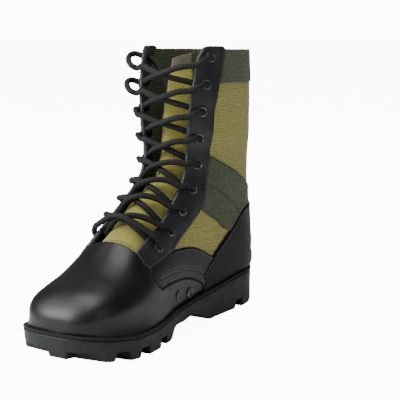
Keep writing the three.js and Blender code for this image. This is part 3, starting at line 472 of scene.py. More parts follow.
# Insole: a felted board that fills the bottom of the boot inside the upper, with rolled edges
WALL, INSOLE_THICKNESS = 1.8, 2.6
board, tree, shader, where = mottled_material(
    "insole_board", (0.07, 0.065, 0.05), (0.13, 0.12, 0.09), 160.0, 0.9, 0.85
)
fibres = node(
    tree, "ShaderNodeTexNoise", {"Vector": where.outputs["Object"], "Scale": 1500.0, "Detail": 3.0}
)
add_bump(tree, shader, fibres.outputs["Fac"], 0.5, 0.0003)
INSOLE_PROFILE = [(-2.9, 0), (-2.4, 0.5), (-2.2, 1.3), (-2.4, 2.1), (-2.9, 2.6)]
INSOLE_STEPS = 160
t = np.linspace(0, 1, INSOLE_STEPS)
spread = 0.12 * t + 0.88 * (1 - np.cos(np.pi * t)) / 2
columns = []
for side in (1, -1):
    rows = INSOLE_PROFILE if side > 0 else INSOLE_PROFILE[::-1]
    for grow, rise in rows:
        s = -grow + (LAST_LENGTH + 2 * grow) * spread
        columns.append(
            np.stack(
                [
                    axis_at(s) + side * outline_half(s, side, grow), s,
                    sole_top(s) + GAP - WELT_HEIGHT + rise,
                ],
                1,
            )
        )
insole_points = np.stack(columns, 1)
insole = make_piece(
    "insole_board", insole_points.reshape(-1, 3),
    grid_faces(INSOLE_STEPS, insole_points.shape[1], closed_columns=True), board, ["insole"],
)

# Upper: heavy olive canvas, sewn into one hollow shaft and foot. Its inner face is a darker copy of
# the canvas, painted shade for the shadowed inside of the boot. It is lasted over the insole and
# stays open at the collar and between the two rows of eyelets.
INSTEP_RISE, SHAFT_TOP, BACK_ROUND, HEEL_STATION = 112.0, 260.0, 2.2, 12
FOOT = {
    "front": [1, 0.994, 0.971, 0.9375, 0.88, 0.825, 0.771, 0.718, 0.655, 0.586, 0.514, 0.454],
    "back": [1, 0.994, 0.971, 0.9375, 0.875, 0.8, 0.718, 0.629, 0.525, 0.407, 0.261, 0.111],
    "rise": [0, 0.117, 0.214, 0.3, 0.373, 0.433, 0.508, 0.605, 0.72, 0.843, 0.918, 1],
    "ridge": [3, 3, 3, 3, 3, 3, 3, 3, 3, 2.4, 1.6, 1],
    "medial": [0.94, 0.94, 0.92, 0.9, 0.91, 0.92, 0.9, 0.83, 0.74, 0.68, 0.71, 0.755],
    "lateral": [1, 1, 0.98, 0.95, 0.96, 0.97, 0.98, 0.94, 0.87, 0.795, 0.76, 0.765],
    "middle": [0.6, 0.6, 0.6, 0.6, 0.6, 0.62, 0.64, 0.66, 0.66, 0.62, 0.52, 0.46],
    "full": [2.2, 2.2, 2.2, 2.2, 2.2, 2.15, 2.1, 2.1, 2.1, 2.15, 2.3, 2.4],
    "tuck": [1, 1, 1, 1, 1, 1, 1, 1, 1, 1, 1.1, 1.4],
}
SHAFT = {
    "front": [0.432, 0.4286, 0.432, 0.434, 0.43, 0.421, 0.4125, 0.404],
    "back": [0, -0.005, 0, 0.011, 0.007, -0.001, -0.006, -0.011],
    "lift": [0.125, 0.24, 0.357, 0.5, 0.66, 0.83, 1, 1.17],
    "hind": [0, 0.115, 0.249, 0.416, 0.604, 0.789, 0.973, 1.11],
    "width": [0.912, 0.916, 0.912, 0.953, 1, 0.99, 0.935, 0.9],
    "middle": [0.45, 0.45, 0.46, 0.48, 0.5, 0.5, 0.5, 0.5],
    "full": [2.5, 2.6, 2.6, 2.6, 2.6, 2.6, 2.6, 2.6],
}
foot = {key: np.array(values, float) for key, values in FOOT.items()}
shaft = {key: np.array(values, float) for key, values in SHAFT.items()}
INSTEP_TOP = float(sole_top(foot["back"][-1] * LAST_LENGTH)) + INSTEP_RISE
foot_z = sole_top(foot["back"] * LAST_LENGTH)
LAST = {
    "station": np.arange(20.0),
    "front_s": np.concatenate([foot["front"], shaft["front"]]) * LAST_LENGTH,
    "front_z": np.concatenate(
        [foot_z + foot["rise"] * INSTEP_RISE, INSTEP_TOP + shaft["lift"] * (SHAFT_TOP - INSTEP_TOP)]
    ),
    "back_s": np.concatenate([foot["back"], shaft["back"]]) * LAST_LENGTH,
    "back_z": np.concatenate([foot_z, HEEL_HEIGHT + shaft["hind"] * (SHAFT_TOP - HEEL_HEIGHT)]),
    "ridge": np.concatenate([foot["ridge"], np.full(8, 0.8)]),
    1: np.concatenate([foot["medial"] * BALL_WIDTH / 2, shaft["width"] * LEG_WIDTH / 2]),
    -1: np.concatenate([foot["lateral"] * BALL_WIDTH / 2, shaft["width"] * LEG_WIDTH / 2]),
    "middle": np.concatenate([foot["middle"], shaft["middle"]]),
    "full": np.concatenate([foot["full"], shaft["full"]]),
    "tuck": np.concatenate([foot["tuck"], np.full(8, BACK_ROUND)]),
}
RIDGE_SHARE = 0.03
NUDGE = 0.004


def last_at(station, column):
    return through(LAST, "station", column, station)


def last_point(station, v):
    """A point (x, s, z) of the last. station counts the sections from the toe's tip over the
    instep to the collar. v goes round each section: 0 on the ridge, plus on the inner side and
    minus on the outer, 1 + RIDGE_SHARE at the feather edge or the back. A section is half a
    superellipse from the ridge to its widest point, then another to its end."""
    station, v = np.broadcast_arrays(np.asarray(station, float), np.asarray(v, float))
    side = np.where(v < 0, -1, 1)
    turn = np.clip(np.abs(v) - RIDGE_SHARE, 0, 1)
    on_foot = station < HEEL_STATION
    back_s = last_at(station, "back_s")
    back_z = np.where(on_foot, sole_top(back_s), last_at(station, "back_z"))
    toe = toe_share(back_s, side)
    widest = np.where(side > 0, last_at(station, 1), last_at(station, -1)) * toe
    edge = np.where(on_foot, outline_half(back_s, side), 0)
    ridge = last_at(station, "ridge") * toe
    middle, full, tuck = last_at(station, "middle"), last_at(station, "full"), last_at(station, "tuck")
    front = np.minimum(turn * 2, 1) * np.pi / 2
    rear = np.clip(turn * 2 - 1, 0, 1) * np.pi / 2
    first = turn <= 0.5
    bulge = np.where(
        first, ridge + (widest - ridge) * np.sin(front) ** (2 / full),
        edge + (widest - edge) * np.maximum(np.cos(rear), 0) ** (2 / tuck),
    )
    down = np.where(
        first, middle * (1 - np.maximum(np.cos(front), 0) ** (2 / full)),
        middle + (1 - middle) * np.sin(rear) ** (2 / BACK_ROUND),
    )
    bulge = bulge * np.where(turn > 0, 1, np.clip(np.abs(v) / RIDGE_SHARE, 0, 1))
    front_s, front_z = last_at(station, "front_s"), last_at(station, "front_z")
    x = side * bulge + np.where(on_foot, axis_at(back_s), 0)
    return np.stack([x, front_s + (back_s - front_s) * down, front_z + (back_z - front_z) * down], -1)


def last_normal(station, v):
    """Direction out of the last: the cross product of its slopes along and round."""
    station, v = np.broadcast_arrays(np.asarray(station, float), np.asarray(v, float))
    limit = 1 + RIDGE_SHARE
    at_back = (station >= HEEL_STATION) & (np.abs(v) > limit - NUDGE)
    under = np.maximum(station - NUDGE, np.where(at_back, HEEL_STATION, 0))
    along = last_point(station + NUDGE, v) - last_point(under, v)
    around = last_point(station, np.minimum(v + NUDGE, limit)) - last_point(
        station, np.maximum(v - NUDGE, -limit)
    )
    normal = np.cross(along, around)
    normal[np.abs(v) > limit - NUDGE, 2] *= np.where(at_back, 1, 0)[np.abs(v) > limit - NUDGE]
    normal[at_back, 0] = 0
    normal[station < NUDGE] = (0, 1, 0)
    normal /= np.maximum(np.linalg.norm(normal, axis=-1, keepdims=True), 1e-9)
    return normal


def sv_of(s, z, side):
    """Station and v of a side view point: bisects for the section whose straight line from ridge
    to edge holds the point, then turns its place on that line into v."""
    s, z = np.asarray(s, float), np.asarray(z, float)

    def off(station):
        fs, fz, bs = last_at(station, "front_s"), last_at(station, "front_z"), last_at(station, "back_s")
        bz = np.where(station < HEEL_STATION, sole_top(bs), last_at(station, "back_z"))
        return (bs - fs) * (z - fz) - (bz - fz) * (s - fs)

    start, end = np.full(s.shape, 0.3), np.full(s.shape, 19.0)
    sign = np.sign(off(end))
    for _ in range(40):
        half = (start + end) / 2
        same = np.sign(off(half)) == sign
        end, start = np.where(same, half, end), np.where(same, start, half)
    station = (start + end) / 2
    fs, fz, bs = last_at(station, "front_s"), last_at(station, "front_z"), last_at(station, "back_s")
    bz = np.where(station < HEEL_STATION, sole_top(bs), last_at(station, "back_z"))
    down = np.clip(((s - fs) * (bs - fs) + (z - fz) * (bz - fz)) / ((bs - fs) ** 2 + (bz - fz) ** 2), 0, 1)
    middle, full = last_at(station, "middle"), last_at(station, "full")
    front = np.arccos(np.clip(1 - down / middle, 0, 1) ** (full / 2)) / np.pi
    rear = 0.5 + np.arcsin(np.clip((down - middle) / (1 - middle), 0, 1) ** (BACK_ROUND / 2)) / np.pi
    return station, side * (np.where(down < middle, front, rear) + RIDGE_SHARE)


# Soft creases, as lines in the side view from one end to the other: shares of LAST_LENGTH and of
# the sole-to-instep or instep-to-top height, then width and depth in mm. Plus stands proud.
CREASES = [
    {"a": (0.70, 0.52), "b": (0.60, 0.30), "width": 7, "depth": -1.0},
    {"a": (0.745, 0.44), "b": (0.66, 0.26), "width": 8, "depth": 0.7},
    {"a": (0.46, 1.18), "b": (0.10, 1.02), "width": 7, "depth": -0.9},
    {"a": (0.42, 1.32), "b": (0.06, 1.22), "width": 9, "depth": 0.9},
    {"a": (0.40, 1.5), "b": (0.12, 1.40), "width": 8, "depth": -0.7},
    {"a": (0.50, 0.62), "b": (0.36, 0.86), "width": 8, "depth": 0.8},
    {"a": (0.44, 0.56), "b": (0.30, 0.80), "width": 6, "depth": -0.6},
]


def place(along, up):
    """A side view point: along is a share of LAST_LENGTH, up is 1 at the instep, 2 at the top."""
    up = np.asarray(up, float)
    return np.stack(
        [
            np.asarray(along, float) * LAST_LENGTH,
            np.minimum(up, 1) * INSTEP_TOP + np.maximum(up - 1, 0) * (SHAFT_TOP - INSTEP_TOP),
        ],
        -1,
    )


def relief(p):
    """How far the creases lift the surface: a soft bell across each line, fading at its ends."""
    lift = np.zeros(p.shape[:-1])
    for crease in CREASES:
        a, b = place(*crease["a"]), place(*crease["b"])
        way = (b - a) / np.linalg.norm(b - a)
        off = p[..., 1:] - a
        along = off @ way / np.linalg.norm(b - a)
        across = off[..., 0] * way[1] - off[..., 1] * way[0]
        fade = smooth_step(along, -0.15, 0.25) * smooth_step(-along, -1.15, -0.75)
        lift += crease["depth"] * fade * np.exp(-((across / crease["width"]) ** 2))
    return lift


def smooth_line(points, count=60):
    """A smooth line through a few points: a Catmull-Rom spline."""
    points = np.asarray(points, float)
    ends = np.concatenate([2 * points[:1] - points[1:2], points, 2 * points[-1:] - points[-2:-1]])
    at = np.linspace(0, len(points) - 1, count)
    i = np.minimum(at.astype(int), len(points) - 2)
    t = (at - i)[:, None]
    p0, p1, p2, p3 = ends[i], ends[i + 1], ends[i + 2], ends[i + 3]
    square, cube = 2 * p0 - 5 * p1 + 4 * p2 - p3, 3 * p1 - p0 - 3 * p2 + p3
    return 0.5 * (2 * p1 + (p2 - p0) * t + square * t**2 + cube * t**3)


def inside(p, outline):
    """Distance in the side view to a closed outline, plus inside and minus outside."""
    a = np.asarray(outline)
    b = np.roll(a, -1, 0)
    q = p[..., None, :]
    edge = b - a
    t = np.clip(((q - a) * edge).sum(-1) / np.maximum((edge**2).sum(-1), 1e-9), 0, 1)
    nearest = np.sqrt((((q - a) - t[..., None] * edge) ** 2).sum(-1)).min(-1)
    crosses = (a[:, 1] > q[..., 1]) != (b[:, 1] > q[..., 1])
    reach = a[:, 0] + (q[..., 1] - a[:, 1]) * edge[:, 0] / np.where(
        np.abs(edge[:, 1]) < 1e-9, 1e-9, edge[:, 1]
    )
    odd = ((q[..., 0] < reach) & crosses).sum(-1) % 2
    return np.where(odd == 1, nearest, -nearest)


THROAT = {
    "up": [0.5, 0.62, 0.85, 1.05, 1.3, 1.63, 2, 2.5],
    "half": [0.6, 0.585, 0.565, 0.525, 0.565, 0.66, 0.725, 0.76],
}
THROAT_FOOT = 0.612
THROAT_CORNER = 0.05
COLLAR_DROP = 3.0


def up_of(z):
    return np.where(z < INSTEP_TOP, z / INSTEP_TOP, 1 + (z - INSTEP_TOP) / (SHAFT_TOP - INSTEP_TOP))


def throat_half(z):
    return through(THROAT, "up", "half", up_of(z)) * LEG_WIDTH / 2


def from_throat(p):
    """Distance from the throat's edge, plus outside it. The throat lies between the facings and
    ends below in a rounded edge over the instep."""
    x, s, z = p[..., 0], p[..., 1], p[..., 2]
    half = throat_half(z)
    foot_z = INSTEP_TOP * (THROAT_FOOT - THROAT_CORNER * (np.clip(np.abs(x) / half, 0, 1) ** 2.5))
    beside = np.abs(x) - half
    below = foot_z - z
    behind = 0.2 * LAST_LENGTH - s
    return np.maximum(np.maximum(beside, below), behind)


CROWN = np.array(
    [
        [-0.1, -COLLAR_DROP], [0.261, -COLLAR_DROP], [0.263, -1.2], [0.27, 0], [0.335, 0],
        [0.352, -1.6], [0.363, -5.4], [0.372, -10], [0.6, -12],
    ]
)


def top_line(s):
    """Height of the straight line from the back of the top section to its front."""
    front_s, front_z, back_s, back_z = (LAST[key][18] for key in ("front_s", "front_z", "back_s", "back_z"))
    return back_z + (front_z - back_z) * (s - back_s) / (front_s - back_s)


def crown_z(s):
    """Height of the top edge: the facings stand a little above the collar, with round corners."""
    return top_line(s) + np.interp(s / LAST_LENGTH, CROWN[:, 0], CROWN[:, 1])


def under_crown(p):
    return crown_z(p[..., 1]) - p[..., 2]


def spaced(start, end, pitch, rounds):
    """Stations from start to end so that rows lie at most pitch apart anywhere between rounds."""
    fine = np.linspace(start, end, 1600)
    points = last_point(fine[:, None], np.asarray(rounds)[None])
    run = np.linalg.norm(np.diff(points, axis=0), axis=-1).max(1)
    total = np.concatenate([[0], np.cumsum(run)])
    return np.interp(np.linspace(0, total[-1], int(total[-1] / pitch) + 2), total, fine)


def true_field(field, points):
    """A field divided by its slope on the surface, so that it measures distance along it."""
    du, dv = np.gradient(points, axis=0), np.gradient(points, axis=1)
    fu, fv = np.gradient(field)
    e, f, g = (du * du).sum(-1), (du * dv).sum(-1), (dv * dv).sum(-1)
    area = np.maximum(e * g - f * f, 1e-6)
    slope = np.sqrt(np.maximum(g * fu**2 - 2 * f * fu * fv + e * fv**2, 0) / area)
    return field / np.clip(slope, 0.25, 4)


def cut_sheet(station, v, field):
    """Keeps the part of a grid on the last where the field is above zero, and moves the corners
    along its edge onto the line where it is zero. Gives stations, v, faces and distances."""
    su, sv = np.meshgrid(station, v, indexing="ij")
    points = last_point(su, sv)
    value = true_field(field(points), points)
    centre = (value[:-1, :-1] + value[1:, :-1] + value[:-1, 1:] + value[1:, 1:]) / 4
    keep = centre > 0
    faces = grid_faces(*su.shape).reshape(su.shape[0] - 1, su.shape[1] - 1, 4)[keep]
    beside = np.pad(keep, 1, mode="edge")
    gone = ~(beside[:-1, :-1] & beside[1:, :-1] & beside[:-1, 1:] & beside[1:, 1:])
    used = np.zeros(su.size, bool)
    used[faces.ravel()] = True
    rim = gone & used.reshape(su.shape)
    fu, fv = np.gradient(value)
    size = np.maximum(fu**2 + fv**2, 1e-6)
    row, column = np.meshgrid(np.arange(su.shape[0]), np.arange(su.shape[1]), indexing="ij")
    step_u = np.clip(-value * fu / size, -0.8, 0.8) * rim
    step_v = np.clip(-value * fv / size, -0.8, 0.8) * rim
    su = np.interp(row + step_u, np.arange(len(station)), station)
    sv = np.interp(column + step_v, np.arange(len(v)), v)
    distance = np.where(rim, 0, np.maximum(value, 0))
    order = np.cumsum(used) - 1
    return su.ravel()[used], sv.ravel()[used], order[faces], distance.ravel()[used]


def panel(
    name, material, replaced, station, rounds, field, height, seat=GAP, roll=1.2, solid=0.0,
    extra=None, inside_shade=None,
):
    """A leather or cloth panel on the last: seated a little off it, as thick as height, and rolled
    down at its cut edge on a quarter circle. solid gives it a back face that far in. rounds holds
    a list of v for each grid that it is made of. The last argument is the material of the back face;
    the upper gives it a darker copy of its canvas, painted shade."""
    points, faces, normals, distances, round_at = [], [], [], [], []
    count = 0
    for v in rounds:
        su, sv, corners, distance = cut_sheet(station, v, field)
        points.append(last_point(su, sv))
        normals.append(last_normal(su, sv))
        faces.append(corners + count)
        distances.append(distance)
        round_at.append(sv)
        count += len(su)
    points, faces, normals = np.concatenate(points), np.concatenate(faces), np.concatenate(normals)
    distance, round_at = np.concatenate(distances), np.concatenate(round_at)
    rounding = np.sqrt(np.maximum(1 - (1 - np.minimum(distance / roll, 1)) ** 2, 0))
    placed = points + normals * (seat + height * rounding + relief(points))[:, None]
    attributes = {"edge": distance}
    for title, rule in (extra or {}).items():
        attributes[title] = rule(points)
    uv = np.stack([round_at * 130, points[:, 2]], 1)
    piece = make_piece(
        name, placed, faces, material, replaced, uv=uv, attributes=attributes, facing=normals
    )
    if solid:
        wall = piece.modifiers.new("wall", "SOLIDIFY")
        wall.thickness, wall.offset = solid / 1000, -1.0
    if inside_shade:
        piece.data.materials.append(inside_shade)
        wall.material_offset = 1
    return piece


facing_back = smooth_line(
    place(
        [0.545, 0.475, 0.394, 0.361, 0.339, 0.332, 0.323, 0.293, 0.264, 0.255],
        [0.522, 0.617, 0.733, 0.877, 1.095, 1.23, 1.468, 1.77, 1.975, 2.1],
    )
)
FACING_OUTLINE = np.concatenate(
    [
        place([0.712, 0.712, 0.706, 0.69, 0.68], [0.9, 0.5, 0.482, 0.467, 0.465]), facing_back,
        place([0.9], [2.1]),
    ]
)
counter_front = smooth_line(
    place(
        [0.366, 0.366, 0.376, 0.33, 0.236, 0.175, 0.11, 0, -0.1],
        [0, 0.25, 0.305, 0.41, 0.554, 0.657, 0.69, 0.7, 0.7],
    )
)
COUNTER_OUTLINE = np.concatenate([counter_front, place([-0.1], [0])])
wing_top = smooth_line(
    place([0.366, 0.372, 0.394, 0.453, 0.514, 0.6, 0.654], [0.2, 0.235, 0.27, 0.316, 0.337, 0.34, 0.332])
)
VAMP_OUTLINE = np.concatenate(
    [
        place([0.366], [-0.3]), wing_top,
        place([0.684, 0.694, 0.68, 0.68, 1.2, 1.2], [0.386, 0.433, 0.5, 0.8, 0.8, -0.3]),
    ]
)
foxing_top = smooth_line(place([0.545, 0.463, 0.4, 0.31], [0.527, 0.52, 0.487, 0.4]))
FOXING_OUTLINE = np.concatenate([place([0.7, 0.705], [0.3, 0.52]), foxing_top, place([0.31], [0.2])])
ankle_top = smooth_line(place([0.4, 0.252, 0.194, 0.146, 0, -0.1], [1.17, 0.99, 0.94, 0.888, 0.745, 0.66]))
ankle_foot = smooth_line(place([-0.1, 0.236, 0.307, 0.39, 0.44], [0.35, 0.554, 0.632, 0.733, 0.8]))
ANKLE_OUTLINE = np.concatenate([ankle_top, ankle_foot])

FULL_ROUND = 1 + RIDGE_SHARE
COLLAR_WIDTH = 31.0


def leather_zone(p):
    """1 where leather covers the canvas and 0 elsewhere, with a soft edge 1 mm wide."""
    over = inside(p[..., 1:], FACING_OUTLINE)
    for outline in (VAMP_OUTLINE, COUNTER_OUTLINE):
        over = np.maximum(over, inside(p[..., 1:], outline))
    return smooth_step(over, -0.5, 0.5)


def bare_webbing_zone(p):
    """The same for the collar's tape where no leather covers it."""
    over = smooth_step(p[..., 2] - top_line(p[..., 1]) + COLLAR_DROP + COLLAR_WIDTH, -0.5, 0.5)
    return over * (1 - leather_zone(p))


# Weave: ribs that run level round the boot, each crossed by threads, with an uneven dye. The colour
# goes from light on the ribs' tops to dark in the grooves between them, painted shade in the grooves.
weave, given, gives = new_group(
    "weave",
    {
        "Vector": (VECTOR, None), "Light": (COLOUR, (0.3, 0.26, 0.09, 1)),
        "Dark": (COLOUR, (0.12, 0.1, 0.03, 1)), "Rib": (FLOAT, 1.3), "Thread": (FLOAT, 0.9),
        "Slant": (FLOAT, 0.0), "Cross": (FLOAT, 0.45),
    },
    {"Color": COLOUR, "Height": FLOAT},
)
axes = node(weave, "ShaderNodeSeparateXYZ", {0: given.outputs["Vector"]})
slanted = node(
    weave, "ShaderNodeMath", {0: axes.outputs[1], 1: given.outputs["Slant"], 2: axes.outputs[2]},
    operation="MULTIPLY_ADD",
)
sideways = node(weave, "ShaderNodeMath", {0: axes.outputs[0], 1: axes.outputs[1]}, operation="SUBTRACT")
wobble = node(
    weave, "ShaderNodeTexNoise", {"Vector": given.outputs["Vector"], "Scale": 180.0, "Detail": 2.0}
)
rib_step = node(weave, "ShaderNodeMath", {0: 2000 * np.pi, 1: given.outputs["Rib"]}, operation="DIVIDE")
rib_phase = node(
    weave, "ShaderNodeMath", {0: slanted.outputs[0], 1: rib_step.outputs[0], 2: 0.0},
    operation="MULTIPLY_ADD",
)
rib_bent = node(
    weave, "ShaderNodeMath", {0: wobble.outputs["Fac"], 1: 1.6, 2: rib_phase.outputs[0]},
    operation="MULTIPLY_ADD",
)
rib_wave = node(weave, "ShaderNodeMath", {0: rib_bent.outputs[0]}, operation="SINE")
thread_step = node(
    weave, "ShaderNodeMath", {0: 2000 * np.pi, 1: given.outputs["Thread"]}, operation="DIVIDE"
)
thread_phase = node(
    weave, "ShaderNodeMath", {0: sideways.outputs[0], 1: thread_step.outputs[0]}, operation="MULTIPLY"
)
thread_wave = node(weave, "ShaderNodeMath", {0: thread_phase.outputs[0]}, operation="SINE")
summed = node(
    weave, "ShaderNodeMath",
    {0: thread_wave.outputs[0], 1: given.outputs["Cross"], 2: rib_wave.outputs[0]},
    operation="MULTIPLY_ADD",
)
height = node(weave, "ShaderNodeMapRange", {0: summed.outputs[0], 1: -1.45, 2: 1.45})
dye = node(
    weave, "ShaderNodeTexNoise",
    {"Vector": given.outputs["Vector"], "Scale": 420.0, "Detail": 4.0, "Roughness": 0.7},
)
dye_patches = node(weave, "ShaderNodeMath", {0: dye.outputs["Fac"], 1: 0.9, 2: -0.2}, operation="MULTIPLY_ADD")
# Colour share: the rib height makes the rib tops light and the grooves dark, painted shade, plus the uneven
# dye
groove_shade_and_dye_share = node(
    weave, "ShaderNodeMath", {0: height.outputs[0], 1: 0.75, 2: dye_patches.outputs[0]},
    operation="MULTIPLY_ADD", use_clamp=True,
)
dye_and_groove_shade = blend(weave, groove_shade_and_dye_share.outputs[0], given.outputs["Dark"], given.outputs["Light"])
weave.links.new(dye_and_groove_shade, gives.inputs["Color"])
weave.links.new(height.outputs[0], gives.inputs["Height"])


UNDER_LEATHER, UNDER_WEBBING = (0.004, 0.004, 0.0045, 1), (0.085, 0.105, 0.05, 1)


def cloth_material(name, light, dark, rib, thread, slant=0.0, cross=0.45, leather=False):
    """A woven cloth, coloured light on its ribs and dark in the grooves between them, painted shade.
    With leather set, the point attributes leather and webbing turn it into the colours of what
    covers it there, so that no pale cloth shows at an edge."""
    material, tree, shader = shader_of(name)
    where = node(tree, "ShaderNodeTexCoord")
    cloth = place_group(
        tree, weave,
        {
            "Vector": where.outputs["Object"], "Light": (*light, 1), "Dark": (*dark, 1), "Rib": rib,
            "Thread": thread, "Slant": slant, "Cross": cross,
        },
    )
    colour = cloth.outputs["Color"]
    if leather:
        zone = node(tree, "ShaderNodeAttribute", attribute_name="leather")
        web = node(tree, "ShaderNodeAttribute", attribute_name="webbing")
        colour = blend(tree, zone.outputs["Fac"], colour, UNDER_LEATHER)
        colour = blend(tree, web.outputs["Fac"], colour, UNDER_WEBBING)
    tree.links.new(colour, shader.inputs["Base Color"])
    shader.inputs["Roughness"].default_value = 0.9
    shader.inputs["Sheen Weight"].default_value = 0.15
    add_bump(tree, shader, cloth.outputs["Height"], 0.9, 0.0006)
    return material


canvas = cloth_material(
    "olive_canvas", (0.38, 0.345, 0.088), (0.095, 0.086, 0.018), 2.1, 1.5, cross=0.3, leather=True
)
# The upper's inner face: the canvas made several times darker, painted shade for the shadowed inside of the
# boot, which is unlined canvas
inside_shade = cloth_material("inside_painted_shade", (0.11, 0.115, 0.055), (0.038, 0.04, 0.02), 2.1, 1.5, leather=True)
panel(
    "upper_canvas", canvas, ["upper"], spaced(0.0, 18.3, 2.0, [0.03, 0.3, 0.6, 0.85, 1.02]), [
        np.linspace(-FULL_ROUND, FULL_ROUND, 150)
    ],
    lambda p: np.minimum(from_throat(p), under_crown(p)), 0.0, seat=0.0, solid=WALL,
    inside_shade=inside_shade,
    extra={"leather": leather_zone, "webbing": bare_webbing_zone},
)

# Vamp: black full-grain leather over the toe and along both sides to the counter, with a raised
# edge that runs up to the facings and across the instep under the tongue.
leather_group, given, gives = new_group(
    "leather",
    {
        "Vector": (VECTOR, None), "Base": (COLOUR, (0.01, 0.01, 0.011, 1)),
        "Worn": (COLOUR, (0.05, 0.05, 0.055, 1)), "Edge": (FLOAT, 5.0), "Roughness": (FLOAT, 0.36),
    },
    {"Color": COLOUR, "Roughness": FLOAT, "Height": FLOAT},
)
cells = node(
    leather_group, "ShaderNodeTexVoronoi",
    {"Vector": given.outputs["Vector"], "Scale": 900.0, "Randomness": 0.9}, feature="F1",
)
fine = node(
    leather_group, "ShaderNodeTexNoise",
    {"Vector": given.outputs["Vector"], "Scale": 1300.0, "Detail": 2.0},
)
grain = node(
    leather_group, "ShaderNodeMath", {0: cells.outputs["Distance"], 1: 0.7, 2: fine.outputs["Fac"]},
    operation="MULTIPLY_ADD",
)
clouds = node(
    leather_group, "ShaderNodeTexNoise",
    {"Vector": given.outputs["Vector"], "Scale": 28.0, "Detail": 6.0, "Roughness": 0.62},
)
rub = node(leather_group, "ShaderNodeMapRange", {0: clouds.outputs["Fac"], 1: 0.45, 2: 0.8, 3: 0.0, 4: 0.4})
# The colour turns paler towards each cut edge, up to about a millimetre in
near_edge = node(
    leather_group, "ShaderNodeMapRange", {0: given.outputs["Edge"], 1: 0.2, 2: 1.3, 3: 0.55, 4: 0.0}
)
patch_and_edge_share = node(
    leather_group, "ShaderNodeMath", {0: rub.outputs[0], 1: near_edge.outputs[0]}, operation="MAXIMUM"
)
patch_and_edge_colour = blend(leather_group, patch_and_edge_share.outputs[0], given.outputs["Base"], given.outputs["Worn"])
sheen = node(
    leather_group, "ShaderNodeMath", {0: patch_and_edge_share.outputs[0], 1: 0.25, 2: given.outputs["Roughness"]},
    operation="MULTIPLY_ADD",
)
leather_group.links.new(patch_and_edge_colour, gives.inputs["Color"])
leather_group.links.new(sheen.outputs[0], gives.inputs["Roughness"])
leather_group.links.new(grain.outputs[0], gives.inputs["Height"])


def leather_material(name, base, worn, roughness, bump_strength=0.3, gloss=0.38):
    """Grained leather with soft paler patches, and paler within about a millimetre of its cut edges, read
    from the point attribute edge.
    """
    material, tree, shader = shader_of(name)
    where = node(tree, "ShaderNodeTexCoord")
    rim = node(tree, "ShaderNodeAttribute", attribute_name="edge")
    look = place_group(
        tree, leather_group,
        {
            "Vector": where.outputs["Object"], "Base": (*base, 1), "Worn": (*worn, 1),
            "Edge": rim.outputs["Fac"], "Roughness": roughness,
        },
    )
    tree.links.new(look.outputs["Color"], shader.inputs["Base Color"])
    tree.links.new(look.outputs["Roughness"], shader.inputs["Roughness"])
    shader.inputs["Specular IOR Level"].default_value = gloss
    add_bump(tree, shader, look.outputs["Height"], bump_strength, 0.00025)
    return material


vamp_leather = leather_material("vamp_leather", (0.0013, 0.0015, 0.0017), (0.0055, 0.0063, 0.007), 0.34)
VAMP_STEP, OVERLAY, WEBBING, FACING = 1.1, 1.2, 0.9, 1.6
panel(
    "vamp", vamp_leather, [], spaced(0.0, 11.2, 1.15, [0.03, 0.3, 0.6, 0.85, 1.02]), [
        np.linspace(-FULL_ROUND, FULL_ROUND, 190)
    ],
    lambda p: np.minimum(from_throat(p), inside(p[..., 1:], VAMP_OUTLINE)), VAMP_STEP - 0.1, seat=0.1,
)

# Foxing and counter: leather bands over the sides of the midfoot and round the heel. The foxing
# lies above the vamp's wing and under the counter, whose front edge is rolled.
foxing_leather = leather_material(
    "foxing_leather", (0.0016, 0.0019, 0.0021), (0.0072, 0.0083, 0.0089), 0.42, gloss=0.32
)
for name, side in (("medial", 1), ("lateral", -1)):
    around = np.sort(side * np.linspace(0.2, FULL_ROUND, 120))
    panel(
        f"foxing_{name}_leather", foxing_leather, [f"foxing_{name}"],
        spaced(6.0, 11.6, 0.9, [0.5, 0.8, 1.0]), [around],
        lambda p: np.minimum(inside(p[..., 1:], FOXING_OUTLINE), -inside(p[..., 1:], VAMP_OUTLINE) - 0.1),
        OVERLAY + 0.3,
    )
COUNTER_LIFT = 1.0
# The counter's black leather is given a darker colour than the vamp's, painted shade at the back of the
# heel
counter_leather = leather_material(
    "counter_leather", (0.0007, 0.0008, 0.0009), (0.0032, 0.0037, 0.0041), 0.5, gloss=0.16
)
panel(
    "heel_counter_leather", counter_leather, ["heel_counter"], spaced(8.8, 15.2, 1.1, [0.6, 0.85, 1.02]),
    [np.linspace(-FULL_ROUND, -0.3, 100), np.linspace(0.3, FULL_ROUND, 100)],
    lambda p: inside(p[..., 1:], COUNTER_OUTLINE), OVERLAY + COUNTER_LIFT, roll=1.8,
)

# Webbing: close-woven dark tape sewn round the collar and slantwise over each ankle, where two
# widths of it lie side by side from the facing down to the counter.
tape = cloth_material("olive_webbing", (0.066, 0.085, 0.036), (0.010, 0.0145, 0.006), 1.9, 1.9, cross=1.0)
SELVEDGE_WAVE, SELVEDGE_PITCH = 0.4, 3.8
tape_seam = smooth_line(place([0.44, 0.35, 0.268, 0.175, 0.1], [0.99, 0.888, 0.806, 0.664, 0.54]))
TAPE_OUTLINES = {
    "upper": np.concatenate([ankle_top, tape_seam[::-1]]),
    "lower": np.concatenate([tape_seam, ankle_foot]),
}


def beside_leather(p):
    """Distance to the nearest edge of the facing or the foxing, plus outside them."""
    return -np.maximum(inside(p[..., 1:], FACING_OUTLINE), inside(p[..., 1:], FOXING_OUTLINE))


def collar_field(p):
    """The collar's tape: under its waved woven edge, above its lower edge, behind the facings."""
    top = under_crown(p) + SELVEDGE_WAVE * np.sin(2 * np.pi * p[..., 1] / SELVEDGE_PITCH)
    low = p[..., 2] - top_line(p[..., 1]) + COLLAR_DROP + COLLAR_WIDTH
    return np.minimum(np.minimum(top, low), beside_leather(p))


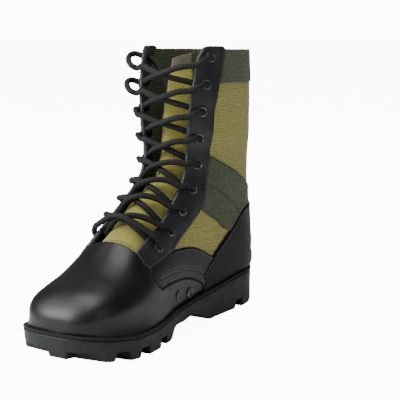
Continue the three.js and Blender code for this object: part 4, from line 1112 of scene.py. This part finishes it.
halves_round = {"lateral": np.linspace(-FULL_ROUND, -0.1, 150), "medial": np.linspace(0.1, FULL_ROUND, 150)}
station = spaced(15.2, 18.3, 0.9, [0.2, 0.5, 0.8, 1.02])
panel(
    "collar_webbing", tape, ["collar_band"], station, list(halves_round.values()), collar_field,
    WEBBING, roll=0.9,
)
station = spaced(8.0, 15.5, 0.95, [0.2, 0.5, 0.8, 1.02])
for side_name, around in halves_round.items():
    for strip_name, outline in TAPE_OUTLINES.items():
        panel(
            f"ankle_tape_{side_name}_{strip_name}", tape, [f"ankle_webbing_{side_name}"], station, [around],
            lambda p: np.minimum(inside(p[..., 1:], outline), beside_leather(p)), WEBBING,
            roll=0.9,
        )

# Facings: blue-black leather strips down both sides of the throat, folded at their front edge,
# which carry the nine eyelets and reach down over the vamp.
# The facings are black leather; their colour is set several times paler than the vamp's, painted sheen,
# with a blue cast
facing_leather = leather_material("facing_leather", (0.011, 0.0122, 0.0134), (0.046, 0.05, 0.054), 0.36)
for name, side in (("medial", 1), ("lateral", -1)):
    around = np.sort(side * np.linspace(0.04, 0.62, 110))
    panel(
        f"eyestay_{name}_leather", facing_leather, [f"eyestay_{name}"],
        spaced(6.4, 18.3, 0.85, [0.15, 0.4]), [around],
        lambda p: np.minimum(
            np.minimum(inside(p[..., 1:], FACING_OUTLINE), from_throat(p)), under_crown(p)
        ),
        FACING, roll=1.5,
    )

# Tongue: a strip of the same canvas behind the lacing, sewn under the vamp at its foot, folded
# lengthwise by use and bound along its top with brown tape.
TONGUE_THICKNESS, TONGUE_LEAN = 2.4, 15.0
TONGUE = {
    "station": [6.2, 8, 10, 12, 14, 16, 17.6], "half": [0.62, 0.65, 0.63, 0.62, 0.56, 0.47, 0.38],
    "lean": [0, 0.03, 0.1, 0.18, 0.35, 0.7, 1],
}
TONGUE_SINK, TONGUE_CURL, FOLD_PLACE, FOLD_RISE, TOP_SLANT = 3.2, 15.0, 0.12, 2.0, 0.3


def front_point(station, x, height):
    """A point over the front of the last at a given x, as if the throat were closed, raised by a
    height along the ridge's own direction."""
    widest = np.minimum(last_at(station, 1), last_at(station, -1))
    full, front_s, front_z = last_at(station, "full"), last_at(station, "front_s"), last_at(
        station, "front_z"
    )
    back_s = last_at(station, "back_s")
    back_z = np.where(station < HEEL_STATION, sole_top(back_s), last_at(station, "back_z"))
    down = last_at(station, "middle") * (1 - (1 - np.clip(np.abs(x) / widest, 0, 1) ** full) ** (1 / full))
    p = np.stack([x, front_s + (back_s - front_s) * down, front_z + (back_z - front_z) * down], -1)
    return p + last_normal(station, 0.0 * station) * np.asarray(height)[..., None]


def tongue_point(station, across, depth):
    """A point of the tongue: across runs from -1 to 1, depth goes into the boot. Its edges sink
    behind the facings, the outer one far, and a soft fold runs down beside its middle."""
    half = through(TONGUE, "station", "half", station) * LEG_WIDTH / 2
    lean = TONGUE_LEAN * through(TONGUE, "station", "lean", station)
    fold = FOLD_RISE * np.exp(-(((across - FOLD_PLACE) / 0.3) ** 2)) * smooth_step(station, 7.5, 11)
    sink = TONGUE_SINK * smooth_step(np.abs(across), 0.35, 1.0) * smooth_step(station, 6.8, 8.5)
    sink = sink + TONGUE_CURL * smooth_step(-across, -0.1, 1.0) * smooth_step(station, 8.2, 11.5)
    waves = 0.7 * np.sin(station * 5.1 + across * 1.7) * smooth_step(station, 7.5, 9)
    p = front_point(station, across * half, -(WALL + 2 * GAP) - depth - sink - FOLD_RISE + fold + waves)
    p[..., 1] -= lean
    return p


def tongue_form(start, end, rows, swell):
    """A closed strip of the tongue between two stations: an outer and an inner face that meet at
    rounded edges, swell mm thicker on each face than the tongue."""
    u = np.linspace(start, end, rows)[:, None]
    w = np.concatenate([np.linspace(-1, 1, 56), np.linspace(1, -1, 56)[1:-1]])[None]
    outer = np.concatenate([np.ones(56), -np.ones(54)])[None]
    top = TOP_SLANT * (w - 1) * smooth_step(u, 14, 17.6)
    round_side = np.sqrt(1 - np.abs(w) ** 14)
    round_end = np.sqrt(np.clip(1 - np.abs(2 * (u - start) / (end - start) - 1) ** 60, 0, 1))
    half_thick = (TONGUE_THICKNESS / 2 + swell) * round_side * round_end
    return tongue_point(u + top, w * (1 + swell / 40), TONGUE_THICKNESS / 2 - outer * half_thick)


tongue_canvas = cloth_material(
    "tongue_canvas", (0.34, 0.31, 0.05), (0.09, 0.08, 0.012), 1.9, 1.5, slant=0.7, cross=0.4
)
TONGUE_ROWS, BINDING_ROWS = 260, 30
strip = tongue_form(6.2, 17.6, TONGUE_ROWS, 0.0)
tongue = make_piece(
    "tongue_strip", strip.reshape(-1, 3), grid_faces(TONGUE_ROWS, strip.shape[1], closed_columns=True),
    tongue_canvas, ["tongue"],
)
binding_tape = cloth_material("binding_tape", (0.10, 0.09, 0.045), (0.035, 0.032, 0.017), 1.2, 1.0)
strip = tongue_form(16.95, 17.68, BINDING_ROWS, 0.5)
binding = make_piece(
    "tongue_binding", strip.reshape(-1, 3),
    grid_faces(BINDING_ROWS, strip.shape[1], closed_columns=True), binding_tape,
)

# Eyelets: nine painted metal rings on each facing, rolled over a washer, with the paint worn off
# their rims. Two drain vents of the same metal, with a fine screen, sit low on the inner side.
EYELETS, EYELET_PITCH, EYELET_INSET, EYELET_TOP = 9, 23.3, 12.5, 10.0
RING_PROFILE = [
    (2.8, -2.4), (2.7, 0), (2.75, 2.2), (3.0, 2.75), (3.5, 3.05), (4.25, 3.0),
    (4.9, 2.7), (5.3, 2.3), (5.25, 1.95), (3.3, 1.9), (3.2, -2.0), (3.5, -2.5),
]
VENTS = [(0.538, 11.5), (0.459, 7.5)]
VENT_PROFILE = [
    (0, 1.5), (3.0, 1.45), (3.5, 1.75), (3.9, 2.2), (4.5, 2.3), (5.0, 2.0), (5.2, 1.4), (5.1, 1.0),
    (3.4, 0.9), (3.3, -0.9), (0, -0.9),
]


def edge_v(station, side, inset=0.0):
    """v of the throat's edge at each station, or of a line a distance behind it, by bisection."""
    start, end = np.full(len(station), RIDGE_SHARE), np.full(len(station), 0.6)
    for _ in range(30):
        half = (start + end) / 2
        p = last_point(station, side * half)
        inner = np.abs(p[:, 0]) - throat_half(p[:, 2]) < inset
        start, end = np.where(inner, half, start), np.where(inner, end, half)
    return side * start


def eyelet_places(side):
    """Station and v of the eyelets, from the bottom one to the top one: equal steps down the
    facing's edge, then back along the section."""
    station = np.linspace(18, 6.5, 900)
    v = edge_v(station, side)
    run = np.concatenate([[0], np.cumsum(np.linalg.norm(np.diff(last_point(station, v), axis=0), axis=1))])
    down = EYELET_TOP + EYELET_PITCH * np.arange(EYELETS - 1, -1, -1)
    at = np.interp(down, run, station)
    first = edge_v(at, side)
    offsets = np.linspace(0, 0.4, 400)
    ways = last_point(at[:, None], first[:, None] + side * offsets)
    lengths = np.concatenate(
        [np.zeros((EYELETS, 1)), np.cumsum(np.linalg.norm(np.diff(ways, axis=1), axis=2), 1)], 1
    )
    picked = offsets[np.abs(lengths - EYELET_INSET).argmin(1)]
    return at, first + side * picked


def turned_rings(profile, sides, centres, normals):
    """The profile (radius, height) turned about each normal: one closed ring or cap per place."""
    profile = np.array(profile, float)
    angle = np.linspace(0, 2 * np.pi, sides, endpoint=False)
    helper = np.cross(normals, [0.3, 0.2, 1.0])
    a = helper / np.linalg.norm(helper, axis=1, keepdims=True)
    b = np.cross(normals, a)
    ring = np.cos(angle)[:, None] * a[:, None] + np.sin(angle)[:, None] * b[:, None]
    radius, height = profile[:, 0][None, :, None, None], profile[:, 1][None, :, None, None]
    return centres[:, None, None] + radius * ring[:, None] + height * normals[:, None, None]


metal, tree, shader = shader_of("painted_metal")
where = node(tree, "ShaderNodeTexCoord")
scratches = node(
    tree, "ShaderNodeTexNoise",
    {"Vector": where.outputs["Object"], "Scale": 420.0, "Detail": 5.0, "Roughness": 0.7},
)
rim = node(tree, "ShaderNodeAttribute", attribute_name="rim")
bare = node(
    tree, "ShaderNodeMath", {0: scratches.outputs["Fac"], 1: rim.outputs["Fac"]}, operation="MULTIPLY"
)
bare_mask = node(tree, "ShaderNodeMapRange", {0: bare.outputs[0], 1: 0.46, 2: 0.6})
PAINT, BARE_METAL = (0.005, 0.005, 0.0055, 1), (0.3, 0.3, 0.31, 1)
tree.links.new(blend(tree, bare_mask.outputs[0], PAINT, BARE_METAL), shader.inputs["Base Color"])
tree.links.new(bare_mask.outputs[0], shader.inputs["Metallic"])
shader.inputs["Roughness"].default_value = 0.3
add_bump(tree, shader, scratches.outputs["Fac"], 0.2, 0.0001)

EYE = {side: eyelet_places(side) for side in (1, -1)}


def ring_piece(name, profile, sides, station, v, replaced, closed, worn_height):
    """The turned profile at each place, as one piece. rim is 1 on the parts that stand proudest."""
    points = turned_rings(profile, sides, last_point(station, v), last_normal(station, v))
    count, rows = points.shape[0], points.shape[1]
    one = grid_faces(rows, sides, closed, True)
    faces = (one[None] + (np.arange(count) * rows * sides)[:, None, None]).reshape(-1, 4)
    rim_share = np.repeat(smooth_step(np.array(profile)[:, 1], worn_height - 0.7, worn_height), sides)
    piece = make_piece(
        name, points.reshape(-1, 3), faces, metal, replaced, attributes={"rim": np.tile(rim_share, count)}
    )
    return piece


for name, side in (("medial", 1), ("lateral", -1)):
    ring_piece(
        f"eyelets_{name}", RING_PROFILE, 28, *EYE[side],
        [f"eyelet_{name}_{i + 1}" for i in range(EYELETS)], True, 3.0,
    )
vent_s = np.array([along for along, _ in VENTS]) * LAST_LENGTH
vent_station, vent_v = sv_of(vent_s, sole_top(vent_s) + np.array([rise for _, rise in VENTS]), 1)
ring_piece("drain_vents", VENT_PROFILE, 32, vent_station, vent_v, ["vent_front", "vent_rear"], False, 2.2)

# Laces: one round black braided cord. It lies over both facings at the bottom eyelets, and from
# there each half comes out from behind a facing and goes over the other into its next eyelet.
LACE_RADIUS, BRAID_PITCH = 2.75, 4.2
braid, tree, shader = shader_of("lace_braid")
where = node(tree, "ShaderNodeTexCoord")
parts = node(tree, "ShaderNodeSeparateXYZ", {0: where.outputs["UV"]})
waves = []
for turn in (1, -1):
    around = node(
        tree, "ShaderNodeMath", {0: parts.outputs[1], 1: turn * 2000 * np.pi * 3}, operation="MULTIPLY"
    )
    along = node(
        tree, "ShaderNodeMath",
        {0: parts.outputs[0], 1: 2000 * np.pi / BRAID_PITCH, 2: around.outputs[0]},
        operation="MULTIPLY_ADD",
    )
    waves.append(node(tree, "ShaderNodeMath", {0: along.outputs[0]}, operation="SINE").outputs[0])
plait = node(tree, "ShaderNodeMath", {0: waves[0], 1: waves[1]}, operation="MULTIPLY")
plait_share = node(tree, "ShaderNodeMapRange", {0: plait.outputs[0], 1: -1.0, 2: 1.0})
# The braid is coloured dark between the strands and paler on them: painted shade in the gaps between
# strands
STRAND_GAP_SHADE, ON_STRANDS = (0.0008, 0.0008, 0.0008, 1), (0.009, 0.009, 0.0095, 1)
braided = blend(tree, plait_share.outputs[0], STRAND_GAP_SHADE, ON_STRANDS)
tree.links.new(braided, shader.inputs["Base Color"])
shader.inputs["Roughness"].default_value = 0.7
shader.inputs["Specular IOR Level"].default_value = 0.3
add_bump(tree, shader, plait_share.outputs[0], 0.7, 0.0004)


def tube(path, radius, sides=12):
    """A round cord along a path: rings set square to it, each turned on from the last without
    twist, with closed round ends. Gives points, faces and the length and turn at each point."""
    step = np.diff(path, axis=0)
    tangent = np.concatenate([step[:1], (step[1:] + step[:-1]) / 2, step[-1:]])
    tangent /= np.linalg.norm(tangent, axis=1, keepdims=True)
    normal = np.zeros_like(path)
    now = np.cross(tangent[0], [0.31, 0.2, 1.0])
    for i, way in enumerate(tangent):
        now = now - way * (now @ way)
        now = now / np.linalg.norm(now)
        normal[i] = now
    other = np.cross(tangent, normal)
    run = np.concatenate([[0], np.cumsum(np.linalg.norm(step, axis=1))])
    end_round_share = np.sqrt(
        np.clip(1 - (1 - np.clip(np.minimum(run, run[-1] - run) / radius, 0, 1)) ** 2, 0, 1)
    )
    angle = np.linspace(0, 2 * np.pi, sides + 1)
    cosine, sine = np.cos(angle)[None, :, None], np.sin(angle)[None, :, None]
    ring = cosine * normal[:, None] + sine * other[:, None]
    points = path[:, None] + ring * (radius * end_round_share)[:, None, None]
    uv = np.stack(np.broadcast_arrays(run[:, None], (angle / (2 * np.pi))[None]), -1)
    return points.reshape(-1, 3), grid_faces(len(path), sides + 1), uv.reshape(-1, 2)


def smooth_path(points, step=1.1):
    """A smooth path through points in space, by their distance along it, in equal steps."""
    points = np.asarray(points, float)
    run = np.concatenate([[0], np.cumsum(np.linalg.norm(np.diff(points, axis=0), axis=1))])
    table = {"run": run, 0: points[:, 0], 1: points[:, 1], 2: points[:, 2]}
    at = np.linspace(0, run[-1], int(run[-1] / step) + 1)
    return np.stack([through(table, "run", i, at) for i in range(3)], 1)


def on_last(station, v, grow):
    station, v = np.atleast_1d(station), np.atleast_1d(v)
    return (last_point(station, v) + last_normal(station, v) * grow)[0]


def eye_point(side, level, toward, grow, down=0.0):
    """A point near an eyelet: toward is how far from its middle towards the throat, grow how far
    off the facing and down how far below it along the facing, in mm."""
    levels = EYE[side][0]
    station = levels[level] - down / EYELET_PITCH * (levels[max(level, 1)] - levels[max(level, 1) - 1])
    v = np.interp(station, levels, EYE[side][1]) if level else EYE[side][1][0]
    edge = edge_v(np.array([station]), side)[0]
    return on_last(station, v + (edge - v) * toward / EYELET_INSET, grow)


LACE_WAY = {
    "across": [0.0, 0.3, 0.6, 0.86],
    "climb": [-0.06, 0.04, 0.24, 0.52],
    1: [-3.4, -0.6, 0.8, 4.0],
    -1: [-3.4, 2.4, 6.2, 6.2],
}
OVER_FACING = [(13.0, 5.0, 8.5), (9.5, 5.4, 5.0), (5.5, 5.8, 2.0), (2.0, 4.9, 0.4)]


def crossing(side, level, loop=None):
    """The lace from an eyelet's inside over to the next eyelet on the other side: out from behind
    the facing, low across the tongue, over the other facing's edge and down into the hole. Where
    the two halves meet, the one from the outer side lies on the other."""
    first, last = EYE[side][0][level], EYE[-side][0][level + 1]
    near = last_point(np.array([first]), edge_v(np.array([first]), side))[0, 0] * 0.93
    far = last_point(np.array([last]), edge_v(np.array([last]), -side))[0, 0]
    route = [eye_point(side, level, 1.0, -4.6), eye_point(side, level, 7.0, -5.2, 0.8)]
    for across, climb, height in zip(LACE_WAY["across"], LACE_WAY["climb"], LACE_WAY[side]):
        station = first + (last - first) * climb
        route.append(
            front_point(np.array([station]), np.array([near + (far - near) * across]), np.array([height]))[
                0
            ]
        )
    route += loop if loop else [eye_point(-side, level + 1, *place_over) for place_over in OVER_FACING]
    return route + [eye_point(-side, level + 1, 0.3, 2.4), eye_point(-side, level + 1, 0.0, -1.6)]


def slack_loop(level, out, drop):
    """A slack loop on the outer side: over the facing's edge below the eyelet, out into the air
    and back to the hole."""
    shape = [
        (13.5, 0.38, 0.95), (12.5, 0.7, 0.85), (10.5, 0.95, 0.6), (7.5, 1.05, 0.28), (4.5, 0.98, 0.02),
        (1.8, 0.7, -0.1), (0.6, 0.4, -0.05),
    ]
    return [eye_point(-1, level, toward, grow * out, down * drop) for toward, grow, down in shape]


LOOPS = {8: (13.5, 13.0), 7: (13.0, 13.0)}
halves = {}
for start_side in (1, -1):
    route, side = [], start_side
    for level in range(EYELETS - 1):
        is_slack = side > 0 and level + 1 in LOOPS
        loop = slack_loop(level + 1, *LOOPS[level + 1]) if is_slack else None
        route += crossing(side, level, loop)
        side = -side
    route.append(eye_point(side, EYELETS - 1, 0.5, -4.0))
    halves[start_side] = route
bar_points = [eye_point(1, 0, 0.2, 2.2), eye_point(1, 0, 2.5, 5.0), eye_point(1, 0, 11, 6.2)]
bar_middle = front_point(np.array([EYE[1][0][0]]), np.array([0.0]), np.array([9.0]))[0]
bar_end = [eye_point(-1, 0, *at) for at in ((11, 6.2), (2.5, 5.0), (0.2, 2.2), (0.0, -1.6))]
bar = [eye_point(1, 0, 0.0, -1.6)] + bar_points + [bar_middle] + bar_end
whole = smooth_path(halves[1][::-1] + bar + halves[-1])
points, faces, uv = tube(whole, LACE_RADIUS)
lace = make_piece(
    "lace", points, faces, braid, ["lace_bar"] + [f"lace_crossing_{i + 1}" for i in range(8)], uv=uv
)

# Free end of the lace: it comes out inside the outer side's top eyelet and hangs behind the tongue
LACE_END = [
    (0.765, 0.325, 0.946), (0.6, 0.325, 0.93), (0.42, 0.33, 0.892), (0.25, 0.34, 0.838),
    (0.14, 0.352, 0.781),
]
tail_start = eye_point(-1, EYELETS - 1, 0.0, 0.2 - WALL)
tail = smooth_path(
    [tail_start] + [np.array([-a * LEG_WIDTH / 2, s * LAST_LENGTH, z * SHAFT_TOP]) for a, s, z in LACE_END],
    0.8,
)
points, faces, uv = tube(tail, LACE_RADIUS)
tail_piece = make_piece("lace_tail", points, faces, braid, ["lace_end"], uv=uv)

# Stitching: lockstitch in black thread along the edges of the leather, in olive on the tape. On the
# vamp, foxing and counter the black thread is coloured grey, a painted highlight on the thread.
thread_grey = plain_material("black_thread_painted_highlight", (0.10, 0.105, 0.112), 0.6)
thread_black = plain_material("black_thread", (0.002, 0.002, 0.002), 0.7)
thread_olive = plain_material("olive_thread", (0.012, 0.014, 0.008), 0.8)
STITCH, STITCH_PITCH, STITCH_TOP = (1.0, 0.5, 0.42), 3.0, 2.5


def on_panel(station, v, grow):
    """Points a distance off the last, lifted with its creases, and their directions outwards."""
    out = last_normal(station, v)
    p = last_point(station, v)
    return p + out * (grow + relief(p))[:, None], out


def stitch_forms(rows, pitch=STITCH_PITCH):
    """Small pointed pads, one for each stitch, set along rows of points with their normals."""
    centres, ways, normals = [], [], []
    for p, out in rows:
        run = np.concatenate([[0], np.cumsum(np.linalg.norm(np.diff(p, axis=0), axis=1))])
        at = np.arange(pitch / 2, run[-1], pitch)
        at = at[np.interp(at, run, under_crown(p)) > STITCH_TOP]
        centre = np.stack([np.interp(at, run, p[:, i]) for i in range(3)], 1)
        ahead = np.stack(
            [np.interp(at + 0.4, run, p[:, i]) - np.interp(at - 0.4, run, p[:, i]) for i in range(3)], 1
        )
        centres.append(centre)
        ways.append(ahead / np.maximum(np.linalg.norm(ahead, axis=1, keepdims=True), 1e-9))
        normals.append(np.stack([np.interp(at, run, out[:, i]) for i in range(3)], 1))
    centre, way, out = np.concatenate(centres), np.concatenate(ways), np.concatenate(normals)
    beside = np.cross(out, way)
    angle = np.linspace(0, 2 * np.pi, 6, endpoint=False)
    length = np.array([-1, -0.6, 0, 0.6, 1])
    girth = np.array([0, 0.85, 1, 0.85, 0])
    points = (
        centre[:, None, None]
        + way[:, None, None] * (length * STITCH[0])[None, :, None, None]
        + beside[:, None, None] * (girth[:, None] * np.cos(angle) * STITCH[1])[None, :, :, None]
        + out[:, None, None] * (girth[:, None] * np.sin(angle) * STITCH[2])[None, :, :, None]
    )
    one = grid_faces(5, 6, False, True)
    faces = (one[None] + (np.arange(len(centre)) * 30)[:, None, None]).reshape(-1, 4)
    return points.reshape(-1, 3), faces


def side_row(line, inset, grow, side, start=0.0, end=1.0):
    """A row that follows a side view line at a distance to its left, between two shares of it."""
    line = line[int(start * (len(line) - 1)) : int(end * (len(line) - 1)) + 1]
    way = np.gradient(line, axis=0)
    way /= np.maximum(np.linalg.norm(way, axis=1, keepdims=True), 1e-9)
    moved = line + np.stack([-way[:, 1], way[:, 0]], 1) * inset
    return on_panel(*sv_of(moved[:, 0], moved[:, 1], side), grow)


facing_top = GAP + FACING
foxing_height = GAP + OVERLAY + 0.3
counter_height = GAP + OVERLAY + COUNTER_LIFT
tape_top = GAP + WEBBING
facing_rows, leather_rows, tape_rows = [], [], []
for side in (1, -1):
    for inset in (-2.2, -4.4):
        facing_rows.append(side_row(facing_back, inset, facing_top, side))
    stations = np.linspace(7.3, 17.9, 300)
    facing_rows.append(on_panel(stations, edge_v(stations, side, 2.4), facing_top))
    leather_rows.append(side_row(foxing_top, 2.4, foxing_height, side))
    for inset in (2.2, 4.6, 9.4, 11.8):
        leather_rows.append(side_row(wing_top, inset, foxing_height, side, 0.2, 0.98))
    leather_rows.append(side_row(counter_front, 3.0, counter_height, side, 0.16, 0.9))
    tape_rows.append(side_row(ankle_top, 1.8, tape_top, side, 0.08, 0.75))
    tape_rows.append(side_row(ankle_foot, 1.8, tape_top, side, 0.3, 0.95))
    tape_rows.append(side_row(tape_seam, 1.6, tape_top, side, 0.15, 0.9))
w = np.linspace(-0.92, 0.92, 80)
for foot_station in (7.16, 7.26):
    stations = foot_station - 0.22 * np.abs(w) ** 2.5
    tape_rows.append((tongue_point(stations, w, 0.0), last_normal(stations, 0 * w)))
stations = 17.0 + TOP_SLANT * (w - 1)
facing_rows.append((tongue_point(stations, w, -0.55), last_normal(stations, 0 * w)))
for name, rows, thread, slot in (
    ("facing_stitching", facing_rows, thread_black, "facing_leather"),
    ("leather_stitching", leather_rows, thread_grey, "leather"),
    ("webbing_stitching", tape_rows, thread_olive, "webbing"),
):
    points, faces = stitch_forms(rows)
    seams = make_piece(name, points, faces, thread)

bpy.context.view_layer.update()
